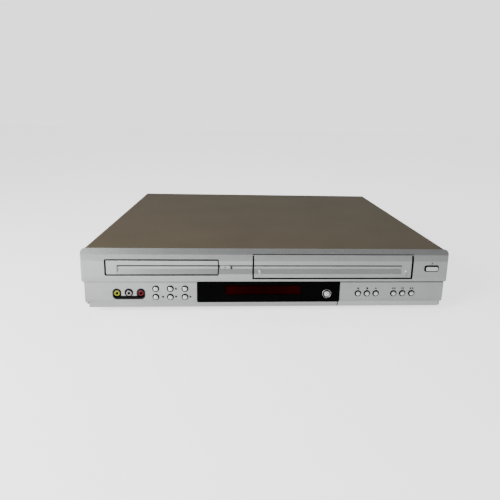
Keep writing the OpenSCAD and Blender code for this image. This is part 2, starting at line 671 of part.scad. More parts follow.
// A box on a board, placed by shares of the board's length and depth
module chip(ends_x, ends_y, z, sx, sy, h) {
    block([part_of(ends_x, sx[0]), part_of(ends_y, sy[0]), z - eps],
        [part_of(ends_x, sx[1]), part_of(ends_y, sy[1]), z + h]);
}
module main_board() {
    z = main_z + board_t;
    color("darkgreen") {
        block([main_x[0], main_y[0], main_z], [main_x[1], main_y[1], z]);
        chip(main_x, main_y, z, [0.103, 0.215], [0.197, 0.493], 2.4);
        chip(main_x, main_y, z, [0.28, 0.355], [0.148, 0.345], 2);
        chip(main_x, main_y, z, [0.486, 0.561], [0.074, 0.32], 8);
        for (share = [0.047, 0.393, 0.439, 0.888])
            rod_z(part_of(main_x, share), part_of(main_y, 0.419), z - eps, z + 12, 3.5);
    }
}
module power_board() {
    z = power_z + board_t;
    room = cover_under - z;
    color("tan") {
        block([power_x[0], power_y[0], power_z], [power_x[1], power_y[1], z]);
        chip(power_x, power_y, z, [0.086, 0.364], [0.193, 0.5], room * 0.55);
        chip(power_x, power_y, z, [0.642, 0.662], [0.161, 0.531], room * 0.52);
        rod_z(part_of(power_x, 0.517), part_of(power_y, 0.274), z - eps, z + room * 0.45, 9);
        for (sx = [0.748, 0.868], sy = [0.209, 0.403])
            rod_z(part_of(power_x, sx), part_of(power_y, sy), z - eps, z + room * 0.31, 6);
    }
}
// Six phono jacks and two aerial sockets, each on its own block against the rear panel
module rear_sockets() {
    tip = rear_reach + 1 + sheet_t;
    hw = rear_pitch / 2 - 0.2;
    low = main_z + board_t;
    for (x = rear_jack_x, k = [0, 1]) {
        z = rear_jack_z[k];
        color("#181818") block([x - hw, panel_y0 - 16, k > 0 ? z - hw : low], [x + hw, panel_y0, z + hw]);
        color("gainsboro") turned_y(x, panel_y0 - eps, z, [[0, 0], [jack_r, 0], [jack_r, tip - 0.5],
            [jack_r - 0.5, tip], [jack_bore_r, tip], [jack_bore_r, 0.8], [0, 0.8]]);
    }
    for (k = [0, 1]) {
        color("silver") block([aerial_x[k] - (k > 0 ? 11.8 : 14), panel_y0 - 34, low],
            [aerial_x[k] + (k > 0 ? 14 : 11.8), panel_y0, aerial_z + 12]);
        color("gainsboro") turned_y(aerial_x[k], panel_y0 - eps, aerial_z, [[0, 0], [aerial_r, 0],
            [aerial_r, rear_reach], [aerial_r - 1.45, rear_reach], [aerial_r - 1.45, 0.8], [0, 0.8]]);
    }
}

// Disc loader
module loader_frame() {
    out_x = wall_x + frame_t;
    foot_x = wall_x - 3.6;
    ear_x = trav_hw + 3;
    color("#2b2b2b") difference() {
        union() {
            block([door_x - out_x, frame_y0, frame_z], [door_x + out_x, frame_y1, frame_z + 2]);
            for (s = [-1, 1]) {
                side_block(s, door_x, wall_x, out_x, [frame_y0, frame_z], [frame_y1, frame_top]);
                // rail under the tray and guide above it
                side_block(s, door_x, tray_x - 2.4, wall_x + eps, [frame_y0, skirt_z - slide_gap - 1.5],
                    [frame_y1, skirt_z - slide_gap]);
                side_block(s, door_x, tray_x - 1.4, wall_x + eps, [frame_y0, tray_top + slide_gap],
                    [frame_y1, tray_top + slide_gap + 1.4]);
                // traverse pivot ears
                side_block(s, door_x, ear_x, ear_x + 4, [pivot_y - 5, frame_z + 1],
                    [pivot_y + 5, pivot_z + 5]);
                for (y = [frame_y0 + 2, frame_y1 - 10])
                    side_block(s, door_x, foot_x - 4, foot_x + 4, [y, floor_top], [y + 8, frame_z + 1]);
            }
            block([door_x - wall_x, frame_y1 - frame_t, frame_z], [door_x + wall_x, frame_y1, skirt_z - 2]);
            rod_z(gear_x, gear_y, frame_z + 1, wheel_z - 0.3, pin_r + 1.5);
            rod_z(gear_x, gear_y, frame_z + 1, tray_low - 0.8, pin_r);
            rod_z(belt_x, gear_y, frame_z + 1, belt_z - 0.3, pin_r + 1.5);
            rod_z(belt_x, gear_y, frame_z + 1, wheel_z + 3, pin_r);
        }
        block([door_x - trav_hw - 2.5, disc_y - 23, frame_z - 1],
            [door_x + trav_hw + 2.5, pivot_y + 6, frame_z + 3]);
        rod_x(door_x - ear_x - 5, door_x + ear_x + 5, pivot_y, pivot_z, 2 + run_gap);
        rod_z(motor_x, motor_y, frame_z - 1, frame_z + 3, 3.2);
    }
}
module rack() {
    m = rack_module;
    p = PI * m;
    hw = p / 4 - tooth_play / 4;
    root = hw + 1.2 * m * tan(20);
    tip = hw - 0.85 * m * tan(20);
    count = ceil((tray_travel + 20) / p);
    y0 = gear_y - 4 * p;
    translate([rack_x, 0, skirt_z]) linear_extrude(3.7) polygon(concat(
        [[-1.2 * m - 2, y0 - p], [-1.2 * m, y0 - p]],
        [for (k = [0:count]) each [[-1.2 * m, y0 + k * p - root], [0.85 * m, y0 + k * p - tip],
            [0.85 * m, y0 + k * p + tip], [-1.2 * m, y0 + k * p + root]]],
        [[-1.2 * m, y0 + (count + 1) * p], [-1.2 * m - 2, y0 + (count + 1) * p]]));
}
module disc_tray() {
    y0 = front_y + flap_back;
    hub_r = disc_r * 0.3636;
    color("#202020") {
        difference() {
            union() {
                block([door_x - tray_x, y0, tray_low], [door_x + tray_x, tray_rear, tray_top]);
                for (s = [-1, 1])
                    side_block(s, door_x, tray_x - 2, tray_x, [y0, skirt_z], [tray_rear, tray_low + 1]);
            }
            rod_z(door_x, disc_y, tray_floor, tray_top + 1, disc_r);
            rod_z(door_x, disc_y, tray_floor - 0.8, tray_top + 1, disc_r * 0.6694);
            rod_z(door_x, disc_y, tray_low - 5, tray_top + 1, hub_r);
            block([door_x - hub_r, disc_y, tray_low - 5], [door_x + hub_r, tray_rear + 1, tray_top + 1]);
        }
        rack();
    }
}
module tray_door() {
    top = door_z + door_h;
    color("lightgray") difference() {
        translate([0, front_y, 0]) along_x(door_x - door_w / 2, door_x + door_w / 2) polygon([[0, door_z],
            [face_d(top), top], [flap_back, top], [flap_back, door_z]]);
        channel_cut();
    }
}
module tray_motor() {
    color("silver") {
        rod_z(motor_x, motor_y, frame_z - 16, frame_z, 10);
        rod_z(motor_x, motor_y, frame_z - eps, frame_z + 2, 3);
        rod_z(motor_x, motor_y, frame_z + 1, belt_z + 4, 1);
    }
}
module motor_pulley() {
    r = belt_motor_r;
    bore = 1 + run_gap;
    color("ivory") translate([motor_x, motor_y, belt_z]) rotate_extrude() polygon([[bore, 0], [r + 1.4, 0],
        [r + 1.4, 0.8], [r, 1.2], [r, 2.8], [r + 1.4, 3.2], [r + 1.4, 4], [bore, 4]]);
}
module drive_belt() {
    gap = 0.2;
    belt_t = 1;
    dx = motor_x - belt_x;
    dy = motor_y - gear_y;
    span = norm([dx, dy]);
    color("#111111") translate([belt_x, gear_y, belt_z + 1.3]) rotate(atan2(dy, dx)) linear_extrude(1.4)
        difference() {
            polygon(belt_points(belt_wheel_r + gap + belt_t, belt_motor_r + gap + belt_t, span));
            polygon(belt_points(belt_wheel_r + gap, belt_motor_r + gap, span));
        }
}
module belt_pulley() {
    r = belt_wheel_r;
    color("ivory") translate([belt_x, gear_y, 0]) difference() {
        union() {
            translate([0, 0, belt_z]) rotate_extrude() polygon([[0, 0], [r + 1.4, 0], [r + 1.4, 0.8],
                [r, 1.2],
                [r, 2.8], [r + 1.4, 3.2], [r + 1.4, 4], [0, 4]]);
            rod_z(0, 0, belt_z + 3, wheel_z, 3.6);
            translate([0, 0, wheel_z - 0.2]) rotate(180 / small_teeth) linear_extrude(3.4)
                polygon(gear_points(small_teeth, wheel_module, tooth_play));
        }
        rod_z(0, 0, belt_z - 1, wheel_z + 9, pin_r + run_gap);
    }
}
module tray_gear() {
    color("ivory") translate([gear_x, gear_y, 0]) difference() {
        union() {
            translate([0, 0, wheel_z]) linear_extrude(3)
                polygon(gear_points(wheel_teeth, wheel_module, tooth_play));
            rod_z(0, 0, wheel_z + 1, skirt_z + 0.5, rack_r - 2 * rack_module);
            translate([0, 0, skirt_z + 0.2]) rotate(180 / rack_teeth) linear_extrude(3)
                polygon(gear_points(rack_teeth, rack_module, tooth_play));
        }
        rod_z(0, 0, wheel_z - 1, tray_low + 9, pin_r + run_gap);
    }
}
module clamp_bridge() {
    out_x = wall_x + frame_t;
    color("silver") difference() {
        union() {
            block([door_x - out_x, disc_y - 22, bridge_z], [door_x + out_x, disc_y + 22, bridge_z + 1.6]);
            for (y = [disc_y - 22, disc_y + 20.8])
                block([door_x - out_x, y, bridge_z + 1.5], [door_x + out_x, y + 1.2, bridge_z + 4]);
        }
        rod_z(door_x, disc_y, bridge_z - 1, bridge_z + 3, 13);
    }
}
module clamp_puck() {
    color("ivory") translate([door_x, disc_y, bridge_z]) rotate_extrude() polygon([[0, 0], [9, 0],
        [9, -3.4],
        [12.4, -3.4], [12.4, 1.7], [16, 1.7], [16, 3], [6, 3], [5, 2], [0, 2]]);
}
module traverse_chassis() {
    color("dimgray") difference() {
        union() {
            block([door_x - trav_hw, disc_y - 21, trav_z], [door_x + trav_hw, pivot_y + 4, trav_z + 3]);
            rod_x(door_x - trav_hw - 6.5, door_x + trav_hw + 6.5, pivot_y, pivot_z, 2);
            rod_z(door_x, disc_y, trav_z + 1, table_z - 3.4, 12.5);
            for (x = [door_x - rail_x, door_x + rail_x])
                rod_y(x, rail_y0 + 1, rail_y1 + 2, rail_z, rail_r);
            for (x = [door_x - rail_x, door_x + rail_x, screw_x], y = [rail_y0, rail_y1])
                block([x - 3, y, trav_z + 1], [x + 3, y + 2.5, rail_z + 2.4]);
            // feed motor
            rod_y(screw_x, rail_y1 + 3.5, pivot_y, rail_z, 4.4);
            block([screw_x - 3, rail_y1 + 3.5, trav_z + 1], [screw_x + 3, pivot_y, rail_z]);
        }
        block([door_x - rail_x - 3, rail_y0 + 3.5, trav_z - 1],
            [door_x + rail_x + 3, rail_y1 - 1, trav_z + 4]);
        rod_y(screw_x, rail_y0 - 1, rail_y1 + 3.4, rail_z, rail_r + run_gap);
        rod_z(door_x, disc_y, trav_z + 5, table_z, 1 + run_gap);
    }
}
module turntable() {
    color("#303030") translate([door_x, disc_y, table_z]) rotate_extrude() polygon([[0, -6], [1, -6],
        [1, -3],
        [table_r - 1, -3], [table_r, -2], [table_r, 0], [7.3, 0], [7, 1], [4.5, 2.5], [0, 2.5]]);
}
module pickup() {
    color("#3a3a3a") difference() {
        union() {
            block([door_x - rail_x - 2, pick_y - 10, trav_z + 3.4],
                [door_x + rail_x + 2, pick_y + 10, rail_z + 3]);
            block([screw_x - 2.6, pick_y - 4, rail_z - 2.4], [door_x - rail_x, pick_y + 4, rail_z + 2.4]);
            rod_z(door_x, pick_y, rail_z + 2, rail_z + 5, 3.6);
        }
        for (x = [door_x - rail_x, door_x + rail_x, screw_x])
            rod_y(x, pick_y - 11, pick_y + 11, rail_z, rail_r + run_gap);
    }
}
module feed_screw() {
    color("gainsboro") rod_y(screw_x, rail_y0 - 0.8, rail_y1 + 3.2, rail_z, rail_r);
}

// Tape deck
module deck_plate() {
    head_z = deck_top + 24;
    color("silver") difference() {
        union() {
            block([slot_x - frame_hw - 8, deck_y0, deck_z], [slot_x + frame_hw + 8, deck_y1, deck_top]);
            for (s = [-1, 1])
                rod_z(slot_x + s * reel_span / 2, reel_y, deck_top - eps, deck_top + 12, pin_r);
            rod_z(capstan_x, capstan_y, deck_top - eps, deck_top + 2.2, capstan_r + 3);
            rod_z(arm_x, arm_y, deck_top - eps, deck_top + 2.6, 4);
            rod_z(arm_x, arm_y, deck_top, deck_top + 11, 2);
            // erase head and sound head
            block([drum_x - drum_r - 17, drum_y - 12, deck_top - eps],
                [drum_x - drum_r - 9, drum_y - 2, head_z]);
            block([drum_x + drum_r + 9, drum_y - 6, deck_top - eps],
                [drum_x + drum_r + 16, drum_y + 4, head_z]);
        }
        rod_z(capstan_x, capstan_y, deck_z - 1, deck_top + 9, capstan_r + run_gap);
        for (s = [-1, 1])
            translate([drum_x + s * 26, drum_y, deck_z]) block([-3, -62, -1], [3, -32, 3]);
    }
}
module lean() {
    translate([drum_x, drum_y, deck_top + 2.4]) rotate([drum_lean, 0, 0]) children();
}
module lower_drum() {
    color("lightsteelblue") difference() {
        union() {
            rod_z(drum_x, drum_y, deck_top, deck_top + 8, drum_r - 7);
            lean() rod_z(0, 0, drum_seat, lower_drum_top, drum_r);
        }
        lean() rod_z(0, 0, drum_seat + 2.6, upper_drum_top, 3 + run_gap);
    }
}
module head_drum() {
    top = upper_drum_top;
    dish_r = drum_r * 0.645;
    hub_r = drum_r * 0.29;
    color("lightsteelblue") lean() rotate_extrude() polygon([[0, drum_seat + 3.6], [3, drum_seat + 3.6],
        [3, upper_drum_z], [drum_r, upper_drum_z], [drum_r, top], [drum_r - 1, top + 1], [dish_r, top + 1],
        [dish_r, top - 1], [hub_r, top - 1], [hub_r, top + 3], [0, top + 3]]);
}
module capstan() {
    color("gainsboro") {
        rod_z(capstan_x, capstan_y, floor_top + 0.8, deck_top + 32, capstan_r);
        rod_z(capstan_x, capstan_y, floor_top + 0.8, deck_z - 0.8, 20);
    }
}
module pinch_arm() {
    color("silver") translate([arm_x, arm_y, deck_top + 2.7]) difference() {
        union() {
            cylinder(h = 8, r = 4);
            rotate(arm_rest) block([0, -3, 0], [arm_len + 3, 3, 2]);
            rotate(arm_rest) rod_z(arm_len, 0, 1, 19, pin_r);
        }
        rod_z(0, 0, -1, 9, 2 + run_gap);
    }
}
module pinch_roller() {
    color("#151515") translate([roller_x, roller_y, deck_top + 4.9]) difference() {
        cylinder(h = 14, r = roller_r);
        rod_z(0, 0, -1, 15, pin_r + run_gap);
    }
}
module reel(x) {
    color("whitesmoke") translate([x, reel_y, deck_top + 0.3]) difference() {
        union() {
            rotate_extrude() polygon([[0, 0], [19, 0], [20, 0.6], [20, 3], [11, 3], [10, 4], [6, 4],
                [5.4, 13],
                [4, 14.5], [0, 14.5]]);
            for (a = [0, 120, 240])
                rotate(a) block([3, -1, 3.5], [7.6, 1, 11]);
        }
        rod_z(0, 0, -1, 12.4, pin_r + run_gap);
    }
}
module supply_reel() { reel(slot_x - reel_span / 2); }
module takeup_reel() { reel(slot_x + reel_span / 2); }
module carriage_frame() {
    y0 = deck_y0 + 2;
    top = holder_top + 3;
    color("gainsboro") {
        for (s = [-1, 1])
            difference() {
                union() {
                    side_block(s, slot_x, frame_hw, frame_hw + 1.2, [y0, deck_top], [frame_end, top]);
                    side_block(s, slot_x, frame_hw, frame_hw + 6, [y0, deck_top],
                        [frame_end, deck_top + 1.2]);
                }
                side_block(s, slot_x, frame_hw - 1, frame_hw + 3, [runner_y[0] - 1.7, run_z - 1.7],
                    [runner_y[1] + carriage_in + 1.7, run_z + 1.7]);
            }
        block([slot_x - frame_hw - 1.2, frame_end - 20, top - 1.2],
            [slot_x + frame_hw + 1.2, frame_end, top]);
    }
}
module carriage_slide() {
    color("burlywood") {
        for (s = [-1, 1]) {
            difference() {
                side_block(s, slot_x, slide_hw - 1.2, slide_hw, [holder_y0 + 2, slot_z - 4.2],
                    [holder_y1 + 6, holder_top - 1.4]);
                for (y = follower_y)
                    side_block(s, slot_x, slide_hw - 3, slide_hw + 1,
                        [y - 1.7, pin_z - carriage_down - 1.7],
                        [y + 1.7, pin_z + 1.7]);
            }
            for (y = runner_y)
                rod_x(slot_x + s * (slide_hw + 0.4) - 0.9, slot_x + s * (slide_hw + 0.4)
                    + 0.9, y, run_z, 1.5);
        }
        block([slot_x - slide_hw + eps, holder_y1 + 2, slot_z + 15],
            [slot_x + slide_hw - eps, holder_y1 + 6, slot_z + 21]);
    }
}
module cassette_holder() {
    low = slot_z - 1;
    top = holder_top + 1;
    color("silver") {
        block([slot_x - holder_hw, holder_y0, holder_top], [slot_x + holder_hw, holder_y1, top]);
        for (s = [-1, 1]) {
            side_block(s, slot_x, holder_hw - 1, holder_hw, [holder_y0, low], [holder_y1, top]);
            side_block(s, slot_x, holder_hw - 9, holder_hw, [holder_y0, low], [holder_y1, slot_z]);
            side_block(s, slot_x, holder_hw - 9, holder_hw, [holder_y1 - 1, low], [holder_y1, slot_z + 9]);
            for (y = follower_y)
                rod_x(slot_x + s * (holder_hw + 0.4) - 0.9, slot_x + s * (holder_hw + 0.4)
                    + 0.9, y, pin_z, 1.5);
        }
    }
}
module cassette_flap() {
    x0 = slot_x - flap_w / 2;
    x1 = slot_x + flap_w / 2;
    color("lightgray") {
        difference() {
            translate([0, front_y, 0]) along_x(x0, x1) polygon([[face_d(flap_z), flap_z], [0, lip_z],
                [0, face_mid], [face_d(flap_top), flap_top], [flap_back - 0.6, flap_top],
                [flap_back, flap_top - 0.6], [flap_back, flap_z]]);
            channel_cut();
            for (x = [x0 + 6.6, x1 - 6.2])
                plate(x, channel_low - 1.2, 3.4, 5.6, 1.6, -1, 1.3);
        }
        rod_x(x0 - flap_gap - 2.6, x0 + 1, front_y + hinge_d, hinge_z, flap_pin_r);
        rod_x(x1 - 1, x1 + flap_gap + 2.6, front_y + hinge_d, hinge_z, flap_pin_r);
    }
}

// Only the lines below draw
bottom_chassis();
rear_panel();
top_cover();
front_panel();
right_panel();
display_window();
select_ring();
feet();
cover_screws();
cord_gland();
jack_pocket();
jack_yellow();
jack_white();
jack_red();
key_select();
key_tray();
key_eject();
key_enter();
key_up();
key_mode();
key_left();
key_down();
key_right();
key_record();
key_stop();
key_play();
key_rewind();
key_pause();
key_forward();
main_board();
power_board();
front_board();
display_module();
rear_sockets();
loader_frame();
disc_tray();
tray_door();
tray_motor();
motor_pulley();
drive_belt();
belt_pulley();
tray_gear();
clamp_bridge();
clamp_puck();
traverse_chassis();
turntable();
pickup();
feed_screw();
deck_plate();
lower_drum();
head_drum();
capstan();
pinch_arm();
pinch_roller();
supply_reel();
takeup_reel();
carriage_frame();
carriage_slide();
cassette_holder();
cassette_flap();
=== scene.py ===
"""Looks of a disc player and tape cassette deck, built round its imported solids."""

import json
import logging
import math
from collections.abc import Callable
from dataclasses import dataclass
from enum import Enum

import bmesh
import bpy
from mathutils import Matrix, Vector


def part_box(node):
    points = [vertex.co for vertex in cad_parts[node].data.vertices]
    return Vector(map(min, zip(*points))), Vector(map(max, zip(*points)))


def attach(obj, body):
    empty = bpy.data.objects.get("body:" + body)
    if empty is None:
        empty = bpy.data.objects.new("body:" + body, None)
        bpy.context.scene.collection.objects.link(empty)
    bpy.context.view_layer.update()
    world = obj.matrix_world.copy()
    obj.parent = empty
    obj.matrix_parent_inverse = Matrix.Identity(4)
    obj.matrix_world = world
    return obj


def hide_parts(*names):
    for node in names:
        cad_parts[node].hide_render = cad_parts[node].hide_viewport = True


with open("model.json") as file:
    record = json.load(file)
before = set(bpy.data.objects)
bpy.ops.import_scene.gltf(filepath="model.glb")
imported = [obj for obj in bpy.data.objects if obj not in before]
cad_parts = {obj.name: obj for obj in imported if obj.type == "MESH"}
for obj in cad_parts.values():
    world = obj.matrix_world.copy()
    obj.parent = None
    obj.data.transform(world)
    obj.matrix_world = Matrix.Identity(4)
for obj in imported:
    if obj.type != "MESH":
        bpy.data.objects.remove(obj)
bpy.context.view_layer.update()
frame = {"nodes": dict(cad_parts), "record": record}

LOG = logging.getLogger("deck")
MM = 0.001
RECORD = frame["record"]
BODY_OF = {node: body for body, nodes in RECORD["behaviour"]["bodies"].items() for node in nodes}
Pair = tuple[float, float]
Point = tuple[float, float, float]
Colour = tuple[float, float, float]
Outline = list[Pair]

# Values of a noise between which its two ends are reached
NOISE_SPAN = (0.3, 0.7)
# Foremost plane of the front
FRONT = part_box("front_panel")[0][1]
# How far the walls of an opening stand off the piece in it, and how deep they go
WALL_MARGIN = 2.0 * MM
WALL_DEPTH = 9.0 * MM
# Depths behind the foremost plane, and levels, between which the styling channel's groove lies
GROOVE_DEPTHS = (2.2 * MM, 2.8 * MM)
GROOVE_LEVELS = (57.7 * MM, 60.4 * MM)
# Where along the front the display is darkest, and the distance that counts as 1 in its shading
PANE_DARKEST = -6.45 * MM
PANE_REACH = 62.0 * MM
# Part of a face's normal along Y past which it looks plainly to the front or the back
FLAT = 0.9
# Distance at which loose triangles are joined, and the turn in degrees under which faces count as one
WELD = 1e-6
ONE_FACE = 0.6


class Legend(Enum):
    """Generic signs printed beside the keys that they are named after."""

    UP = "up"
    DOWN = "down"
    LEFT = "left"
    RIGHT = "right"
    RECORD = "record"
    STOP = "stop"
    PLAY = "play"
    REWIND = "rewind"
    PAUSE = "pause"
    FORWARD = "forward"
    EJECT = "eject"


class Graph:
    """A material's node tree with short ways to add nodes to it."""

    def __init__(self, name: str) -> None:
        """Make an empty material with a Principled shader.

        Args:
            name: the material's name.
        """
        self.material = bpy.data.materials.new(name)
        self.material.use_nodes = True
        self.nodes = self.material.node_tree.nodes
        self.links = self.material.node_tree.links
        self.shader = self.nodes["Principled BSDF"]
        self.coords = self.nodes.new("ShaderNodeTexCoord")

    def noise(self, scale: float, detail: float = 3.0,
              stretch: Point = (1.0, 1.0, 1.0)) -> bpy.types.NodeSocket:
        """Add a noise on Object coordinates.

        Args:
            scale: features per metre.
            detail: octaves of finer noise.
            stretch: factors on the three coordinates.

        Returns:
            The noise's value socket.
        """
        mapping = self.nodes.new("ShaderNodeMapping")
        mapping.inputs["Scale"].default_value = stretch
        self.links.new(self.coords.outputs["Object"], mapping.inputs["Vector"])
        noise = self.nodes.new("ShaderNodeTexNoise")
        noise.inputs["Scale"].default_value = scale
        noise.inputs["Detail"].default_value = detail
        self.links.new(mapping.outputs["Vector"], noise.inputs["Vector"])
        return noise.outputs["Fac"]

    def ramp(self, value: bpy.types.NodeSocket, low: Colour, high: Colour, span: Pair) -> None:
        """Blend two colours by a value into the shader's base colour.

        Args:
            value: the driving socket.
            low: colour at the start of the span.
            high: colour at its end.
            span: the values between which the colours blend.
        """
        ramp = self.nodes.new("ShaderNodeValToRGB")
        first, last = ramp.color_ramp.elements
        first.position, last.position = span
        first.color, last.color = (*low, 1.0), (*high, 1.0)
        self.links.new(value, ramp.inputs["Fac"])
        self.links.new(ramp.outputs["Color"], self.shader.inputs["Base Color"])

    def spread(self, value: bpy.types.NodeSocket, socket: str, low: float, high: float) -> None:
        """Map a noise into a number socket of the shader.

        Args:
            value: the noise's socket.
            socket: the shader socket's name.
            low: result at the start of the noise's span.
            high: result at its end.
        """
        mapper = self.nodes.new("ShaderNodeMapRange")
        mapper.inputs["From Min"].default_value, mapper.inputs["From Max"].default_value = NOISE_SPAN
        mapper.inputs["To Min"].default_value = low
        mapper.inputs["To Max"].default_value = high
        self.links.new(value, mapper.inputs["Value"])
        self.links.new(mapper.outputs["Result"], self.shader.inputs[socket])

    def bump(self, value: bpy.types.NodeSocket, strength: float, distance: float) -> None:
        """Raise the surface by a value.

        Args:
            value: the driving socket.
            strength: how much of the bump shows.
            distance: its height in metres.
        """
        bump = self.nodes.new("ShaderNodeBump")
        bump.inputs["Strength"].default_value = strength
        bump.inputs["Distance"].default_value = distance
        self.links.new(value, bump.inputs["Height"])
        self.links.new(bump.outputs["Normal"], self.shader.inputs["Normal"])


@dataclass(frozen=True)
class Finish:
    """One surface finish: colour variation, gloss and fine relief."""

    name: str
    dark: Colour
    light: Colour
    patch_scale: float = 60.0
    rough: Pair = (0.35, 0.45)
    grain_scale: float = 2500.0
    grain_detail: float = 2.0
    grain_stretch: Point = (1.0, 1.0, 1.0)
    grain_height: float = 0.00002
    grain_strength: float = 0.2
    metallic: float = 0.0
    coat: float = 0.0
    coat_rough: float = 0.08
    specular: float = 0.5
    glow: Colour | None = None
    glow_strength: float = 0.0

    def build(self) -> bpy.types.Material:
        """Make the material.

        Returns:
            The finished material.
        """
        graph = Graph(self.name)
        shader = graph.shader
        shader.inputs["Metallic"].default_value = self.metallic
        shader.inputs["Coat Weight"].default_value = self.coat
        shader.inputs["Coat Roughness"].default_value = self.coat_rough
        shader.inputs["Specular IOR Level"].default_value = self.specular
        if self.glow:
            shader.inputs["Emission Color"].default_value = (*self.glow, 1.0)
            shader.inputs["Emission Strength"].default_value = self.glow_strength
        grain = graph.noise(self.grain_scale, self.grain_detail, self.grain_stretch)
        graph.ramp(self.pattern(graph), self.dark, self.light, NOISE_SPAN)
        graph.spread(grain, "Roughness", *self.rough)
        graph.bump(grain, self.grain_strength, self.grain_height)
        return graph.material

    def pattern(self, graph: Graph) -> bpy.types.NodeSocket:
        """The value that blends the dark colour into the light one."""
        return graph.noise(self.patch_scale)


@dataclass(frozen=True)
class PaneFinish(Finish):
    """A finish that grows lighter towards both ends of a pane."""

    centre: float = 0.0
    reach: float = 1.0

    def pattern(self, graph: Graph) -> bpy.types.NodeSocket:
        """Distance from the pane's middle, as a share of its reach.

        Args:
            graph: the material's graph.

        Returns:
            The value's socket.
        """
        split = graph.nodes.new("ShaderNodeSeparateXYZ")
        graph.links.new(graph.coords.outputs["Object"], split.inputs["Vector"])
        offset, length = graph.nodes.new("ShaderNodeMath"), graph.nodes.new("ShaderNodeMath")
        offset.operation, length.operation = "SUBTRACT", "ABSOLUTE"
        offset.inputs[1].default_value = self.centre
        graph.links.new(split.outputs["X"], offset.inputs[0])
        graph.links.new(offset.outputs["Value"], length.inputs[0])
        share = graph.nodes.new("ShaderNodeMapRange")
        share.inputs["From Max"].default_value = self.reach
        graph.links.new(length.outputs["Value"], share.inputs["Value"])
        return share.outputs["Result"]


def pale(level: float, warm: float = 0.0) -> Colour:
    """A grey of the given level, a little warm or cool."""
    return (level * (1.0 + warm), level, level * (1.0 - warm))


SILVER = Finish("silver_paint", pale(0.45, -0.010), pale(0.48, -0.010), rough=(0.27, 0.29), metallic=0.85,
                grain_strength=0.08)
KEY_SILVER = Finish("key_silver", pale(0.70), pale(0.74), rough=(0.25, 0.29), metallic=0.75,
                    grain_strength=0.08)
# Metal paint of the top cover; its brown tone is partly a painted reflection of the room
COVER = Finish("taupe_enamel_and_reflection", (0.114, 0.091, 0.058), (0.128, 0.103, 0.066), patch_scale=14.0,
               rough=(0.38, 0.48), grain_scale=1400.0, grain_height=0.00003, metallic=0.3, specular=0.12)
WINDOW = Finish("window_black", pale(0.0008), pale(0.0012), rough=(0.05, 0.08), grain_strength=0.02,
                specular=0.02)
DISPLAY = PaneFinish("display_red", (0.008, 0.0002, 0.0002), (0.016, 0.0003, 0.0003), rough=(0.08, 0.14),
                     specular=0.0, centre=PANE_DARKEST, reach=PANE_REACH)
EDGE_GLOW = PaneFinish("display_edge", (0.003, 0.0001, 0.0001), (0.006, 0.0002, 0.0002), rough=(0.08, 0.14),
                       specular=0.0, centre=PANE_DARKEST, reach=PANE_REACH)
SEGMENT = Finish("display_segment", (0.016, 0.0005, 0.0005), (0.020, 0.0006, 0.0006), rough=(0.1, 0.2),
                 specular=0.0)
BLACK = Finish("moulded_black", pale(0.018), pale(0.026), rough=(0.40, 0.55), grain_scale=3200.0,
               grain_strength=0.3)
# Black of the jack pocket and the jacks' barrels, and painted shade in the jacks' bores
POCKET_AND_BORE_SHADE = Finish("pocket_black_and_bore_shade", pale(0.010), pale(0.016), rough=(0.22, 0.34))
STEEL = Finish("galvanised_steel", pale(0.42, 0.005), pale(0.56, 0.005), patch_scale=220.0,
               rough=(0.32, 0.50), metallic=0.9)
RING = Finish("ring_metal", pale(0.60), pale(0.66), rough=(0.26, 0.32), metallic=1.0, grain_strength=0.05)
# White gloss of the flap's beads, a painted highlight
BEAD_HIGHLIGHT = Finish("bead_painted_highlight", pale(0.80), pale(0.84), rough=(0.12, 0.18), coat=1.0, grain_strength=0.02)
CHROME = Finish("bright_metal", pale(0.72), pale(0.78), rough=(0.10, 0.18), metallic=1.0, grain_strength=0.05)
RUBBER = Finish("foot_rubber", pale(0.014), pale(0.022), rough=(0.70, 0.85), grain_strength=0.4)
YELLOW = Finish("jack_yellow_plastic", (0.26, 0.27, 0.012), (0.29, 0.30, 0.016), rough=(0.22, 0.30),
                specular=0.3)
WHITE = Finish("jack_white_plastic", pale(0.23, 0.02), pale(0.27, 0.02), rough=(0.22, 0.30), specular=0.3)
RED = Finish("jack_red_plastic", (0.10, 0.003, 0.008), (0.12, 0.004, 0.010), rough=(0.22, 0.30), specular=0.2)
BOARD = Finish("board_green", (0.02, 0.09, 0.03), (0.03, 0.12, 0.04), patch_scale=400.0, rough=(0.25, 0.4))
IVORY = Finish("gear_ivory", (0.62, 0.57, 0.46), (0.70, 0.65, 0.54), rough=(0.35, 0.5))
DRUM = Finish("turned_drum", pale(0.62), pale(0.72), rough=(0.14, 0.3), metallic=1.0,
              grain_scale=3000.0, grain_stretch=(1.0, 1.0, 8.0))
# Dark grey painted shade: in the groove under the channel's ledge, on key edges and in the tray key's gap
GREY_SHADE = Finish("grey_painted_shade", pale(0.05), pale(0.06), rough=(0.5, 0.6), metallic=0.3, specular=0.2)
BASE = Finish("base_silver", pale(0.58, -0.015), pale(0.61, -0.015), rough=(0.27, 0.29), metallic=0.85,
              grain_strength=0.08)
SHADE = Finish("gap_shade", pale(0.006), pale(0.009), rough=(0.6, 0.8), specular=0.1)
# Dark grey of the printed signs, and painted shade in the screws' driver recesses
INK_AND_SHADE = Finish("print_and_recess_shade", pale(0.012), pale(0.018), rough=(0.5, 0.6), specular=0.1)
MADE: dict[str, bpy.types.Material] = {}


def paint(finish: Finish) -> bpy.types.Material:
    """The finish's material, made on first use.

    Args:
        finish: the finish wanted.

    Returns:
        Its material.
    """
    if finish.name not in MADE:
        MADE[finish.name] = finish.build()
    return MADE[finish.name]


def new_object(name: str, mesh: bpy.types.Mesh, finish: Finish | None = None) -> bpy.types.Object:
    """Link a mesh to the scene as an object at the origin.

    Args:
        name: the piece's name.
        mesh: its mesh.
        finish: its finish, if it has one.

    Returns:
        The object.
    """
    obj = bpy.data.objects.new(name, mesh)
    bpy.context.scene.collection.objects.link(obj)
    if finish:
        mesh.materials.clear()
        mesh.materials.append(paint(finish))
    return obj


